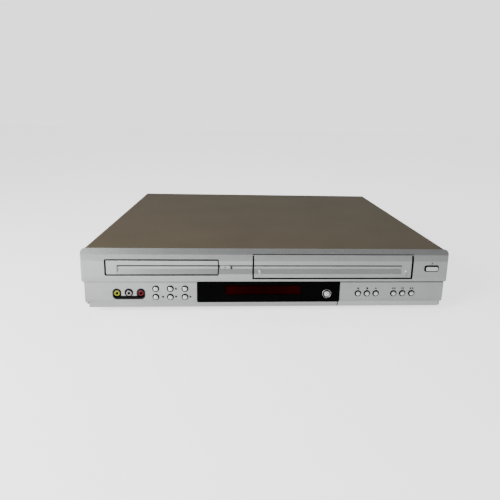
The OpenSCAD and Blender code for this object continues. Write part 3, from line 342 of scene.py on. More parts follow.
def mesh_from(bm: bmesh.types.BMesh, name: str) -> bpy.types.Mesh:
    """Turn a bmesh into a mesh with outward faces.

    Args:
        bm: the bmesh, freed here.
        name: the mesh's name.

    Returns:
        The mesh.
    """
    bmesh.ops.recalc_face_normals(bm, faces=bm.faces)
    mesh = bpy.data.meshes.new(name)
    bm.to_mesh(mesh)
    bm.free()
    return mesh


def settle(obj: bpy.types.Object) -> None:
    """Turn an object's modifiers into plain mesh.

    Args:
        obj: the object to settle.
    """
    bpy.context.view_layer.update()
    graph = bpy.context.evaluated_depsgraph_get()
    mesh = bpy.data.meshes.new_from_object(obj.evaluated_get(graph))
    obj.modifiers.clear()
    obj.data = mesh


def keep_flats(mesh: bpy.types.Mesh, least: float = 12 * MM * MM, turn: float = 1.5) -> None:
    """Keep the edge between two broad flat faces crisp, however blunt it is.

    Args:
        mesh: the mesh.
        least: smallest area of a broad face, in square metres.
        turn: blunter edges than this, in degrees, stay smooth.
    """
    bm = bmesh.new()
    bm.from_mesh(mesh)
    for edge in bm.edges:
        if len(edge.link_faces) == 2 and min(face.calc_area() for face in edge.link_faces) > least:
            if edge.calc_face_angle() > math.radians(turn):
                edge.smooth = False
    bm.to_mesh(mesh)
    bm.free()


def soften(obj: bpy.types.Object, width: float, segments: int = 2, angle: float = 38.0) -> None:
    """Round the sharp edges of a piece.

    Args:
        obj: the piece.
        width: width of the rounding in metres.
        segments: faces across it.
        angle: edges sharper than this, in degrees, are rounded.
    """
    for polygon in obj.data.polygons:
        polygon.use_smooth = True
    obj.data.set_sharp_from_angle(angle=math.radians(angle))
    keep_flats(obj.data)
    if width > 0:
        bevel = obj.modifiers.new("rounding", "BEVEL")
        bevel.width = width
        bevel.segments = segments
        bevel.limit_method = "ANGLE"
        bevel.angle_limit = math.radians(angle)
        bevel.harden_normals = False
        normals = obj.modifiers.new("normals", "WEIGHTED_NORMAL")
        normals.keep_sharp = True
        settle(obj)


def place(obj: bpy.types.Object, body: str, slot: str) -> bpy.types.Object:
    """Hang a new piece on its body.

    Args:
        obj: the piece.
        body: the body it rides on.
        slot: not used.

    Returns:
        The same piece.
    """
    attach(obj, body)
    LOG.info("piece %s rides on %s", obj.name, body)
    return obj


def dress(node: str, finish: Finish, width: float = 0.0, segments: int = 2) -> bpy.types.Object:
    """Show a solid in its finish, with its edges rounded where a width is given.

    Args:
        node: the solid's name.
        finish: its finish.
        width: edge rounding in metres, or 0 to keep the solid's own mesh.
        segments: faces across the rounding.

    Returns:
        The object that shows.
    """
    source = frame["nodes"][node]
    if width <= 0:
        source.data.materials.clear()
        source.data.materials.append(paint(finish))
        LOG.info("solid %s takes %s", node, finish.name)
        return source
    bm = bmesh.new()
    bm.from_mesh(source.data)
    bmesh.ops.remove_doubles(bm, verts=bm.verts, dist=WELD)
    bmesh.ops.dissolve_limit(bm, angle_limit=math.radians(ONE_FACE), verts=bm.verts, edges=bm.edges)
    mesh = bpy.data.meshes.new(node + "_skin")
    bm.to_mesh(mesh)
    bm.free()
    skin = new_object(node + "_skin", mesh, finish)
    soften(skin, width, segments)
    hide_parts(node)
    slot = next(part["material_slot"] for part in RECORD["subparts"] if part["node"] == node)
    return place(skin, BODY_OF[node], slot)


def recoat(obj: bpy.types.Object, finish: Finish, wanted: Callable[[bpy.types.MeshPolygon], bool]) -> None:
    """Give some faces of a piece a finish of their own.

    Args:
        obj: the piece.
        finish: the finish of those faces.
        wanted: tells whether a face takes it.
    """
    mesh = obj.data
    if mesh.materials.find(finish.name) < 0:
        mesh.materials.append(paint(finish))
    index = mesh.materials.find(finish.name)
    for face in mesh.polygons:
        if wanted(face):
            face.material_index = index


def middle(node: str) -> Vector:
    """The middle of a solid's box."""
    low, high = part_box(node)
    return (Vector(low) + Vector(high)) / 2


def inlay(name: str, outlines: list[Outline], at: Point, depth: float, finish: Finish, body: str,
          slot: str) -> bpy.types.Object:
    """A thin printed or set-in shape that faces the front.

    Args:
        name: the piece's name.
        outlines: closed outlines in X and Z, in metres, about the place.
        at: the place, on the surface.
        depth: thickness, centred on the surface.
        finish: its finish.
        body: the body it rides on.
        slot: the record's slot.

    Returns:
        The piece.
    """
    bm = bmesh.new()
    for outline in outlines:
        front = [bm.verts.new((at[0] + x, at[1] - depth / 2, at[2] + z)) for x, z in outline]
        back = [bm.verts.new((at[0] + x, at[1] + depth / 2, at[2] + z)) for x, z in outline]
        bm.faces.new(front)
        bm.faces.new(back)
        for i in range(len(outline)):
            j = (i + 1) % len(outline)
            bm.faces.new((front[i], front[j], back[j], back[i]))
    return place(new_object(name, mesh_from(bm, name), finish), body, slot)


def disc_outline(radius: float, count: int = 24) -> Outline:
    """Points round a circle."""
    return [(radius * math.cos(2 * math.pi * i / count), radius * math.sin(2 * math.pi * i / count))
            for i in range(count)]


def rectangle(width: float, height: float, x: float = 0.0, z: float = 0.0) -> Outline:
    """Corners of an upright rectangle about a point."""
    half, rise = width / 2, height / 2
    return [(x - half, z - rise), (x + half, z - rise), (x + half, z + rise), (x - half, z + rise)]


def lathe(name: str, profile: Outline, count: int = 48, angle: float = 35.0) -> bpy.types.Mesh:
    """Turn a profile round the Y axis.

    Args:
        name: the mesh's name.
        profile: radius and depth pairs from front to back, a closed loop round the section.
        count: steps round the axis.
        angle: edges sharper than this, in degrees, stay sharp.

    Returns:
        The mesh, about the origin.
    """
    bm = bmesh.new()
    rings = []
    for i in range(count):
        turn = 2 * math.pi * i / count
        rings.append([bm.verts.new((r * math.cos(turn), y, r * math.sin(turn))) for r, y in profile])
    for i in range(count):
        one, two = rings[i], rings[(i + 1) % count]
        for j in range(len(profile)):
            k = (j + 1) % len(profile)
            bm.faces.new((one[j], one[k], two[k], two[j]))
    bmesh.ops.remove_doubles(bm, verts=bm.verts, dist=WELD)
    mesh = mesh_from(bm, name)
    for polygon in mesh.polygons:
        polygon.use_smooth = True
    mesh.set_sharp_from_angle(angle=math.radians(angle))
    return mesh


class RowTree:
    """A Geometry Nodes tree that sets one shape at each point of a mesh."""

    def __init__(self, name: str) -> None:
        """Build the tree.

        Args:
            name: the tree's name.
        """
        tree = bpy.data.node_groups.new(name, "GeometryNodeTree")
        face = tree.interface
        face.new_socket("Geometry", in_out="INPUT", socket_type="NodeSocketGeometry")
        self.shape = face.new_socket("Shape", in_out="INPUT", socket_type="NodeSocketObject").identifier
        self.turn = face.new_socket("Turn", in_out="INPUT", socket_type="NodeSocketVector").identifier
        self.size = face.new_socket("Size", in_out="INPUT", socket_type="NodeSocketFloat").identifier
        self.finish = face.new_socket("Finish", in_out="INPUT", socket_type="NodeSocketMaterial").identifier
        face.new_socket("Geometry", in_out="OUTPUT", socket_type="NodeSocketGeometry")
        add = tree.nodes.new
        entry, leave = add("NodeGroupInput"), add("NodeGroupOutput")
        points, shape = add("GeometryNodeMeshToPoints"), add("GeometryNodeObjectInfo")
        spread = add("GeometryNodeInstanceOnPoints")
        solid, coat = add("GeometryNodeRealizeInstances"), add("GeometryNodeSetMaterial")
        link = tree.links.new
        link(entry.outputs["Geometry"], points.inputs["Mesh"])
        link(entry.outputs["Shape"], shape.inputs["Object"])
        link(points.outputs["Points"], spread.inputs["Points"])
        link(shape.outputs["Geometry"], spread.inputs["Instance"])
        link(entry.outputs["Turn"], spread.inputs["Rotation"])
        link(entry.outputs["Size"], spread.inputs["Scale"])
        link(spread.outputs["Instances"], solid.inputs["Geometry"])
        link(solid.outputs["Geometry"], coat.inputs["Geometry"])
        link(entry.outputs["Finish"], coat.inputs["Material"])
        link(coat.outputs["Geometry"], leave.inputs["Geometry"])
        self.tree = tree

    def spread(self, name: str, shape: bpy.types.Mesh, points: list[Point], finish: Finish,
               turn: Point = (0.0, 0.0, 0.0)) -> bpy.types.Object:
        """Set copies of a shape at points and turn the result into a plain mesh.

        Args:
            name: the piece's name.
            shape: the mesh to repeat, about the origin.
            points: where the copies go.
            finish: the copies' finish.
            turn: their turn in radians.

        Returns:
            The piece, not yet on a body.
        """
        sample = new_object(name + "_shape", shape)
        cloud = bpy.data.meshes.new(name + "_points")
        cloud.from_pydata(points, [], [])
        piece = new_object(name, cloud)
        modifier = piece.modifiers.new("row", "NODES")
        modifier.node_group = self.tree
        modifier[self.shape] = sample
        modifier[self.turn] = turn
        modifier[self.size] = 1.0
        modifier[self.finish] = paint(finish)
        settle(piece)
        bpy.data.objects.remove(sample)
        return piece


@dataclass
class CaseShell:
    """Top cover, chassis, rear panel, feet and fasteners."""

    cover_edge: float = 0.25 * MM
    panel_edge: float = 0.15 * MM
    foot_edge: float = 0.4 * MM
    screw_edge: float = 0.12 * MM
    gland_edge: float = 0.3 * MM
    recess_arm: float = 1.5 * MM
    recess_width: float = 0.55 * MM
    recess_depth: float = 0.06 * MM
    head_skin: float = 0.1 * MM
    screws_apart: float = 20 * MM

    def build(self, rows: RowTree) -> None:
        """Dress the shell and set the screw recesses.

        Args:
            rows: the tree that repeats the recess.
        """
        dress("top_cover", COVER, self.cover_edge)
        dress("bottom_chassis", STEEL)
        dress("rear_panel", STEEL, self.panel_edge)
        dress("feet", RUBBER, self.foot_edge)
        dress("cover_screws", CHROME, self.screw_edge)
        dress("cord_gland", BLACK, self.gland_edge)
        self.recesses(rows)

    def cross(self) -> bpy.types.Mesh:
        """A dark cross of painted shade that stands for a driver recess, facing along -Y.

        Returns:
            The mesh, about the origin.
        """
        arm, half = self.recess_arm, self.recess_width / 2
        outline = []
        for k in range(4):
            spin = Matrix.Rotation(k * math.pi / 2, 2)
            outline += [spin @ Vector((half, half)), spin @ Vector((half, arm)), spin @ Vector((-half, arm))]
        bm = bmesh.new()
        face = bm.faces.new([bm.verts.new((p.x, 0.0, p.y)) for p in outline])
        made = bmesh.ops.extrude_face_region(bm, geom=[face])["geom"]
        moved = [v for v in made if isinstance(v, bmesh.types.BMVert)]
        bmesh.ops.translate(bm, verts=moved, vec=(0.0, self.recess_depth, 0.0))
        return mesh_from(bm, "recess")

    def recesses(self, rows: RowTree) -> None:
        """Set a recess of painted shade on every screw head.

        Args:
            rows: the tree that repeats the recess.
        """
        reach = Vector(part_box("cover_screws")[1])
        points = [v.co for v in frame["nodes"]["cover_screws"].data.vertices]
        right = [p for p in points if p.x > reach.x - self.head_skin]
        left = [p for p in points if -p.x > reach.x - self.head_skin]
        rear = [p for p in points if p.y > reach.y - self.head_skin]
        quarter = math.pi / 2
        for name, found, turn, axis in (("right", right, quarter, 1), ("left", left, -quarter, 1),
                                        ("rear", rear, 2 * quarter, 0)):
            spots = self.centres(found, axis)
            piece = rows.spread(f"screw_recess_{name}", self.cross(), spots, INK_AND_SHADE, (0.0, 0.0, turn))
            place(piece, "case", "black_plastic")

    def centres(self, found: list[Vector], axis: int) -> list[Point]:
        """Middles of groups of points that lie apart along one axis.

        Args:
            found: points of several screw heads.
            axis: the axis along which the heads lie apart.

        Returns:
            One middle for each head.
        """
        groups: list[list[Vector]] = []
        for point in sorted(found, key=lambda p: p[axis]):
            if groups and point[axis] - groups[-1][-1][axis] < self.screws_apart:
                groups[-1].append(point)
            else:
                groups.append([point])
        middles = [sum(group, Vector()) / len(group) for group in groups]
        return [tuple(m) for m in middles]


@dataclass(frozen=True)
class Gap:
    """How far the four walls of an opening stand further off."""

    left: float = 0.0
    right: float = 0.0
    below: float = 0.0
    above: float = 0.0


@dataclass
class FrontFace:
    """Front panel, right panel, window and display."""

    edge: float = 0.12 * MM
    window_edge: float = 0.4 * MM
    door_gap: Gap = Gap(left=0.7 * MM, below=0.35 * MM, above=0.35 * MM)
    flap_gap: Gap = Gap(left=0.5 * MM, right=0.9 * MM, below=0.5 * MM)
    eject_gap: Gap = Gap(left=0.8 * MM, above=0.7 * MM)
    slant_facing: float = 0.8
    base_top: float = 14.0 * MM
    base_facing: float = 0.5
    joint_half: float = 0.6 * MM
    joint_lean: float = 1.2 * MM
    joint_shift: float = 0.2 * MM
    joint_back: float = 3.0 * MM
    print_thick: float = 0.06 * MM
    film_thick: float = 0.03 * MM
    pane_low: Pair = (-49.9 * MM, 25.0 * MM)
    pane_high: Pair = (36.4 * MM, 34.0 * MM)
    pane_lift: float = 0.01 * MM
    pane_border: float = 1.3 * MM
    digit_height: float = 7.2 * MM
    digit_width: float = 4.4 * MM
    digit_stroke: float = 0.45 * MM
    digit_pitch: float = 7.6 * MM
    digit_split: float = 1.0 * MM
    digits_a_side: int = 4

    def build(self) -> None:
        """Dress the panels and set the display pane."""
        front = dress("front_panel", SILVER, self.edge)
        right = dress("right_panel", SILVER, self.edge)
        for node in ("key_tray", "key_eject", "jack_pocket"):
            self.shade_opening(front, node)
        for node in ("tray_door", "cassette_flap"):
            self.shade_opening(front, node, self.slant_facing)
        self.widen_opening(front, "tray_door", self.door_gap)
        self.widen_opening(front, "cassette_flap", self.flap_gap)
        self.widen_opening(front, "key_eject", self.eject_gap)
        for node in KeyBank.round_keys:
            self.shade_opening(right if middle(node).x > 0 else front, node, self.slant_facing)
        self.coat_base(right)
        self.base_joint()
        self.shade_groove(front)
        dress("display_window", WINDOW, self.window_edge, segments=3)
        dress("display_module", DISPLAY)
        dress("front_board", BOARD)
        self.pane()

    def coat_base(self, panel: bpy.types.Object) -> None:
        """Give a panel's length of the base strip a lighter silver than the face above."""
        recoat(panel, BASE, lambda face: face.center.z < self.base_top and -face.normal.y > self.base_facing)

    @staticmethod
    def widen_opening(panel: bpy.types.Object, node: str, gap: Gap, reach: float = 1.4 * MM) -> None:
        """Open the gap round a piece in a panel.

        Args:
            panel: the panel with the opening.
            node: the piece in it.
            gap: how far each wall of the opening moves away.
            reach: depth of the piece's front, whose edges the gap runs along.
        """
        points = [v.co for v in frame["nodes"][node].data.vertices]
        front = min(p.y for p in points)
        face = [p for p in points if p.y < front + reach]
        (left, right), (low, high) = ((min(p[k] for p in face), max(p[k] for p in face)) for k in (0, 2))
        for vertex in panel.data.vertices:
            x, y, z = vertex.co
            near = left - WALL_MARGIN < x < right + WALL_MARGIN and low - WALL_MARGIN < z < high + WALL_MARGIN
            if near and y <= front + WALL_DEPTH:
                vertex.co.x += gap.right if x > right else -gap.left if x < left else 0.0
                vertex.co.z += gap.above if z > high else -gap.below if z < low else 0.0

    def base_joint(self) -> None:
        """The dark slanted joint in the base strip."""
        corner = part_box("right_panel")[0]
        half, lean, tall = self.joint_half, self.joint_lean, self.base_top - corner[2]
        outline = [(-half, 0.0), (half, 0.0), (half + lean, tall), (lean - half, tall)]
        at = (corner[0] - self.joint_shift, FRONT + self.joint_back, corner[2])
        inlay("base_joint", [outline], at, self.print_thick, SHADE, "case", "black_plastic")

    @staticmethod
    def shade_groove(piece: bpy.types.Object) -> None:
        """Paint shade into the groove along the top of the styling channel.

        Args:
            piece: a piece that the channel crosses.
        """
        near, far = (FRONT + depth for depth in GROOVE_DEPTHS)
        low, high = GROOVE_LEVELS
        recoat(piece, GREY_SHADE, lambda face: near < face.center.y < far and low < face.center.z < high)

    @staticmethod
    def shade_rim(piece: bpy.types.Object, reach: float) -> None:
        """Darken the four edges of a door in its opening.

        Args:
            piece: the door.
            reach: how far the edges' rounding goes.
        """
        points = [v.co for v in piece.data.vertices]
        low, high = min(p.z for p in points), max(p.z for p in points)
        foot = [p.x for p in points if p.z < low + reach]
        recoat(piece, SHADE, lambda face: abs(face.normal.y) < FLAT and (
            not low + reach < face.center.z < high - reach
            or not min(foot) + reach < face.center.x < max(foot) - reach))

    @staticmethod
    def shade_opening(panel: bpy.types.Object, node: str, facing: float = 0.3) -> None:
        """Darken the walls of a panel's opening round a node.

        Args:
            panel: the panel.
            node: the piece in the opening.
            facing: most that a wall's normal may have along Y.
        """
        (left, _, low), (right, _, high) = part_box(node)

        def is_wall(face: bpy.types.MeshPolygon) -> bool:
            """A face close round the node that doesn't look to the front or the back."""
            x, y, z = face.center
            beside = left - WALL_MARGIN <= x <= right + WALL_MARGIN
            level = low - WALL_MARGIN <= z <= high + WALL_MARGIN
            return beside and level and FRONT <= y <= FRONT + WALL_DEPTH and abs(face.normal.y) < facing

        recoat(panel, SHADE, is_wall)

    def pane(self) -> None:
        """The dark red display area with its unlit segments."""
        front, lift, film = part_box("display_window")[0][1], self.pane_lift, self.film_thick
        (left, low), (right, high) = self.pane_low, self.pane_high
        x, z = (left + right) / 2, (low + high) / 2
        pane, border = rectangle(right - left, high - low), self.pane_border
        wide = [(px + math.copysign(border, px), pz + math.copysign(border, pz)) for px, pz in pane]
        outlines = []
        for k in range(-self.digits_a_side, self.digits_a_side + 1):
            if k:
                outlines += self.digit(k * self.digit_pitch + math.copysign(self.digit_split, k))
        for name, shapes, y, thick, finish in (
                ("display_pane", [pane], front - lift, self.print_thick, DISPLAY),
                ("display_edge", [wide], front - lift / 2, film, EDGE_GLOW),
                ("display_segments", outlines, front - lift - film, film, SEGMENT)):
            inlay(name, shapes, (x, y, z), thick, finish, "case", "display")

    def digit(self, x: float) -> list[Outline]:
        """Outlines of one seven-segment figure.

        Args:
            x: the figure's middle.

        Returns:
            Seven closed outlines.
        """
        w, h, t = self.digit_width / 2, self.digit_height / 2, self.digit_stroke
        bars = [rectangle(2 * (w - t), t, x, level) for level in (h, 0.0, -h)]
        posts = [rectangle(t, h - 2 * t, x + side, level) for level in (h / 2, -h / 2) for side in (-w, w)]
        return bars + posts


@dataclass
class KeyBank:
    """All keys, the ring of the select key and the signs beside them."""

    crown: float = 0.05 * MM
    cap: float = 0.9 * MM
    edge: float = 0.2 * MM
    rise: float = 1.1 * MM
    eject_cap: float = 0.5 * MM
    ring_edge: float = 0.15 * MM
    ring_lip: float = 0.6 * MM
    tray_collar: float = 1.5 * MM
    slot_start: float = 0.2 * MM
    slot_width: float = 2.0 * MM
    slot_past: float = 0.3 * MM
    slot_depth: float = 1.0 * MM
    sign_thick: float = 0.1 * MM
    panel_back: float = 0.82 * MM
    round_keys: tuple[str, ...] = (
        "key_enter", "key_up", "key_mode", "key_left", "key_down", "key_right",
        "key_record", "key_stop", "key_play", "key_rewind", "key_pause", "key_forward")
    side_sign: float = 1.9 * MM
    side_shift: Pair = (6.4 * MM, 0.2 * MM)
    left_shift: Pair = (7.8 * MM, 0.2 * MM)
    deck_sign: float = 1.45 * MM
    deck_shift: Pair = (0.0, 6.4 * MM)
    eject_sign: float = 1.1 * MM
    eject_shift: Pair = (0.0, 6.8 * MM)
    eject_back: float = 0.02 * MM
    tray_sign: float = 1.2 * MM
    tray_print: float = 0.04 * MM
    beside: tuple[Legend, ...] = (Legend.UP, Legend.DOWN, Legend.LEFT, Legend.RIGHT)
    above: tuple[Legend, ...] = (Legend.RECORD, Legend.STOP, Legend.PLAY, Legend.REWIND, Legend.PAUSE,
                                 Legend.FORWARD)

    def build(self) -> None:
        """Dress the keys and print the signs."""
        for node in (*self.round_keys, "key_eject", "key_select"):
            key = dress(node, KEY_SILVER, self.edge)
            self.raise_cap(key, self.eject_cap if node == "key_eject" else self.cap)
            self.shade_skirt(key)
        self.shade_skirt(dress("key_tray", SILVER, self.edge))
        ring = dress("select_ring", RING, self.ring_edge)
        lip = min(v.co.y for v in ring.data.vertices) + self.ring_lip
        recoat(ring, SHADE, lambda face: face.center.y > lip)
        for legend in self.beside:
            shift = self.left_shift if legend is Legend.LEFT else self.side_shift
            self.print_sign(legend, shift, self.side_sign, self.panel_back)
        for legend in self.above:
            self.print_sign(legend, self.deck_shift, self.deck_sign, self.panel_back)
        self.tray_slot()
        self.print_sign(Legend.EJECT, self.eject_shift, self.eject_sign, self.eject_back)

    def raise_cap(self, key: bpy.types.Object, reach: float) -> None:
        """Let a key's cap stand proud of the panel.

        Args:
            key: the key.
            reach: depth of the cap from its front.
        """
        front = min(v.co.y for v in key.data.vertices)
        for vertex in key.data.vertices:
            if vertex.co.y < front + reach:
                vertex.co.y -= self.rise

    def shade_skirt(self, key: bpy.types.Object) -> None:
        """Darken a key's edge, and its skirt and collar behind its cap, with painted shade.

        Args:
            key: the key.
        """
        front = min(v.co.y for v in key.data.vertices)
        recoat(key, GREY_SHADE, lambda face: face.center.y > front + self.crown and abs(face.normal.y) < FLAT)
        recoat(key, SHADE, lambda face: face.center.y > front + self.cap)

    def tray_slot(self) -> None:
        """A dark patch of painted shade at the right end of the tray key, where its gap lies, and the sign on
        the key.
        """
        low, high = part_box("key_tray")
        foot, end = low[2] + self.tray_collar, high[0] - self.tray_collar
        top = high[2] - low[2] - 2 * self.tray_collar + 2 * self.slot_past
        start, stop = self.slot_start, self.slot_start + self.slot_width
        slot = [(start, -self.slot_past), (stop, -self.slot_past), (stop, top), (start, top)]
        inlay("tray_key_slot", [slot], (end, low[1] + self.slot_depth / 2, foot), self.slot_depth, GREY_SHADE,
              "case", "black_plastic")
        spot = middle("key_tray")
        inlay("sign_tray", self.outline(Legend.UP, self.tray_sign), (spot.x, low[1], spot.z), self.tray_print,
              INK_AND_SHADE, BODY_OF["key_tray"], "black_plastic")

    def print_sign(self, legend: Legend, offset: Pair, size: float, depth: float) -> None:
        """Print one sign on the panel near its key.

        Args:
            legend: the sign, which has the key's name.
            offset: the sign's place from the key, in X and Z.
            size: about half of the sign's width.
            depth: how far the printed face lies behind the front's foremost plane.
        """
        spot = middle(f"key_{legend.value}")
        at = (spot.x + offset[0], FRONT + depth, spot.z + offset[1])
        name, shapes = f"sign_{legend.value}", self.outline(legend, size)
        inlay(name, shapes, at, self.sign_thick, INK_AND_SHADE, "case", "black_plastic")

    @staticmethod
    def outline(legend: Legend, s: float) -> list[Outline]:
        """The shapes of a sign.

        Args:
            legend: the sign.
            s: about half of its width.

        Returns:
            Its closed outlines.
        """
        right = [(-0.7 * s, -0.9 * s), (0.9 * s, 0.0), (-0.7 * s, 0.9 * s)]
        left = [(-x, z) for x, z in right]
        bar = rectangle(0.6 * s, 1.8 * s)

        def shift(points: Outline, dx: float) -> Outline:
            """Move an outline across."""
            return [(x + dx, z) for x, z in points]

        shapes = {
            Legend.UP: [[(z, x) for x, z in right]],
            Legend.DOWN: [[(z, -x) for x, z in right]],
            Legend.LEFT: [left],
            Legend.RIGHT: [right],
            Legend.RECORD: [disc_outline(0.8 * s)],
            Legend.STOP: [rectangle(1.6 * s, 1.6 * s)],
            Legend.PLAY: [right],
            Legend.REWIND: [shift(left, -0.9 * s), shift(left, 0.9 * s)],
            Legend.PAUSE: [shift(bar, -0.6 * s), shift(bar, 0.6 * s)],
            Legend.FORWARD: [shift(right, -0.9 * s), shift(right, 0.9 * s)],
            Legend.EJECT: [[(z, x + 0.4 * s) for x, z in right], rectangle(1.8 * s, 0.5 * s, 0.0, -0.85 * s)],
        }
        return shapes[legend]


@dataclass
class JackBank:
    """Front and rear sockets."""

    pocket_edge: float = 0.25 * MM
    jack_edge: float = 0.12 * MM
    coloured: float = 0.3 * MM
    ring_outer: float = 5.2 * MM
    ring_inner: float = 4.0 * MM
    ring_depth: float = 0.8 * MM
    ring_wall: float = 0.56 * MM
    ring_slope: float = 0.3 * MM

    def build(self, rows: RowTree) -> None:
        """Dress the jacks and set coloured rings round the rear ones.

        Args:
            rows: the tree that repeats the rings.
        """
        dress("jack_pocket", POCKET_AND_BORE_SHADE, self.pocket_edge)
        for node, finish in (("jack_yellow", YELLOW), ("jack_white", WHITE), ("jack_red", RED)):
            self.shade_jack(dress(node, finish, self.jack_edge))
        dress("rear_sockets", STEEL, self.jack_edge)
        self.rings(rows)

    def shade_jack(self, jack: bpy.types.Object) -> None:
        """Leave the colour on a jack's face only, give its barrel the black of its body, and darken its bore
        with painted shade.
        """
        front = min(v.co.y for v in jack.data.vertices)
        recoat(jack, POCKET_AND_BORE_SHADE, lambda face: face.center.y > front + self.coloured)

    def rings(self, rows: RowTree) -> None:
        """Coloured rings on the rear panel, one colour for each column of jacks.

        Args:
            rows: the tree that repeats the ring.
        """
        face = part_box("rear_panel")[1][1]
        mounts = [m for m in RECORD["mounts"] if m["name"].startswith("rear_jack")]
        columns = sorted({m["pos_m"][0] for m in mounts})
        inner, outer, depth = self.ring_inner, self.ring_outer, self.ring_depth
        profile = [(inner, 0.0), (outer, 0.0), (outer, self.ring_wall), (outer - self.ring_slope, depth),
                   (inner, depth)]
        for column, finish, word in zip(columns, (YELLOW, WHITE, RED), ("yellow", "white", "red")):
            spots = [(m["pos_m"][0], face, m["pos_m"][2]) for m in mounts if m["pos_m"][0] == column]
            piece = rows.spread(f"rear_ring_{word}", lathe("ring", profile), spots, finish)
            place(piece, "case", word)


@dataclass
class DiscLoader:
    """Tray, door and the drive that moves them."""

    door_edge: float = 0.3 * MM
    door_rim: float = 0.4 * MM
    tray_edge: float = 0.25 * MM

    def build(self) -> None:
        """Dress the loader."""
        door = dress("tray_door", SILVER, self.door_edge)
        FrontFace.shade_groove(door)
        FrontFace.shade_rim(door, self.door_rim)
        dress("disc_tray", BLACK, self.tray_edge)
        dress("loader_frame", BLACK)
        for node in ("motor_pulley", "belt_pulley", "tray_gear", "clamp_puck"):
            dress(node, IVORY)
        for node in ("clamp_bridge", "tray_motor", "feed_screw"):
            dress(node, STEEL)
        dress("drive_belt", RUBBER)
        for node in ("traverse_chassis", "turntable", "pickup"):
            dress(node, BLACK)


@dataclass
class TapeDeck:
    """Flap, carriage and tape transport."""

    flap_edge: float = 0.4 * MM
    flap_rim: float = 0.5 * MM
    rib_inset: float = 10.6 * MM
    rib_half: float = 1.5 * MM
    rib_low: float = 45.4 * MM
    rib_high: float = 54.8 * MM
    rib_back: float = 0.2 * MM
    rib_thick: float = 1.8 * MM
    rib_edge: float = 0.35 * MM
    rib_steps: int = 12
    right_proud: float = 0.4 * MM
    bead: Point = (0.8 * MM, 0.6 * MM, 1.5 * MM)
    bead_back: float = 0.45 * MM
    bead_drop: float = 1.8 * MM
    bead_proud: float = 1.5

    def build(self) -> None:
        """Dress the tape deck."""
        flap = dress("cassette_flap", SILVER, self.flap_edge)
        FrontFace.shade_groove(flap)
        FrontFace.shade_rim(flap, self.flap_rim)
        self.ribs()
        for node in ("deck_plate", "carriage_frame", "cassette_holder", "capstan", "pinch_arm"):
            dress(node, STEEL)
        for node in ("lower_drum", "head_drum"):
            dress(node, DRUM)
        for node in ("supply_reel", "takeup_reel", "carriage_slide"):
            dress(node, IVORY)
        dress("pinch_roller", RUBBER)
        dress("main_board", BOARD)
        dress("power_board", BOARD)

    def ribs(self) -> None:
        """Two short upright ribs with a bead, one near each end of the flap; the bead's white is a painted
        highlight.
        """
        low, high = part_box("cassette_flap")
        half, tall = self.rib_half, self.rib_high - self.rib_low - self.rib_half
        turns = [math.pi * k / self.rib_steps for k in range(self.rib_steps + 1)]
        arch = [(-half, 0.0), (half, 0.0), *((half * math.cos(a), tall + half * math.sin(a)) for a in turns)]
        for side, x, proud in (("left", low[0] + self.rib_inset, 0.0),
                               ("right", high[0] - self.rib_inset, self.right_proud)):
            at = (x, FRONT + self.rib_back + self.rib_thick / 2 - proud, self.rib_low)
            body = BODY_OF["cassette_flap"]
            rib = inlay(f"flap_rib_{side}", [arch], at, self.rib_thick, SILVER, body, "silver_plastic")
            soften(rib, self.rib_edge, segments=3)
            back = FRONT + self.rib_back + self.bead_back - self.bead_proud * proud
            place(self.bead_at(f"flap_bead_{side}", (x, back, self.rib_high - self.bead_drop)), body, "white")

    def bead_at(self, name: str, at: Point) -> bpy.types.Object:
        """A long round bead, white as a painted highlight.

        Args:
            name: the piece's name.
            at: its middle.

        Returns:
            The piece, not yet on a body.
        """
        bm = bmesh.new()
        bmesh.ops.create_uvsphere(bm, u_segments=20, v_segments=12, radius=1.0)
        bmesh.ops.scale(bm, verts=bm.verts, vec=self.bead)
        bmesh.ops.translate(bm, verts=bm.verts, vec=at)
        bead = new_object(name, mesh_from(bm, name), BEAD_HIGHLIGHT)
        soften(bead, 0.0)
        return bead


@dataclass(frozen=True)
class Lamp:
    """One square area lamp."""

    name: str
    at: Point
    aim: Point
    size: float
    power: float

    def build(self) -> None:
        """Hang the lamp and turn it to its aim."""
        data = bpy.data.lights.new(self.name, "AREA")
        data.size = self.size
        data.energy = self.power
        lamp = bpy.data.objects.new(self.name, data)
        lamp.location = self.at
        lamp.rotation_euler = (Vector(self.aim) - Vector(self.at)).to_track_quat("-Z", "Y").to_euler()
        bpy.context.scene.collection.objects.link(lamp)


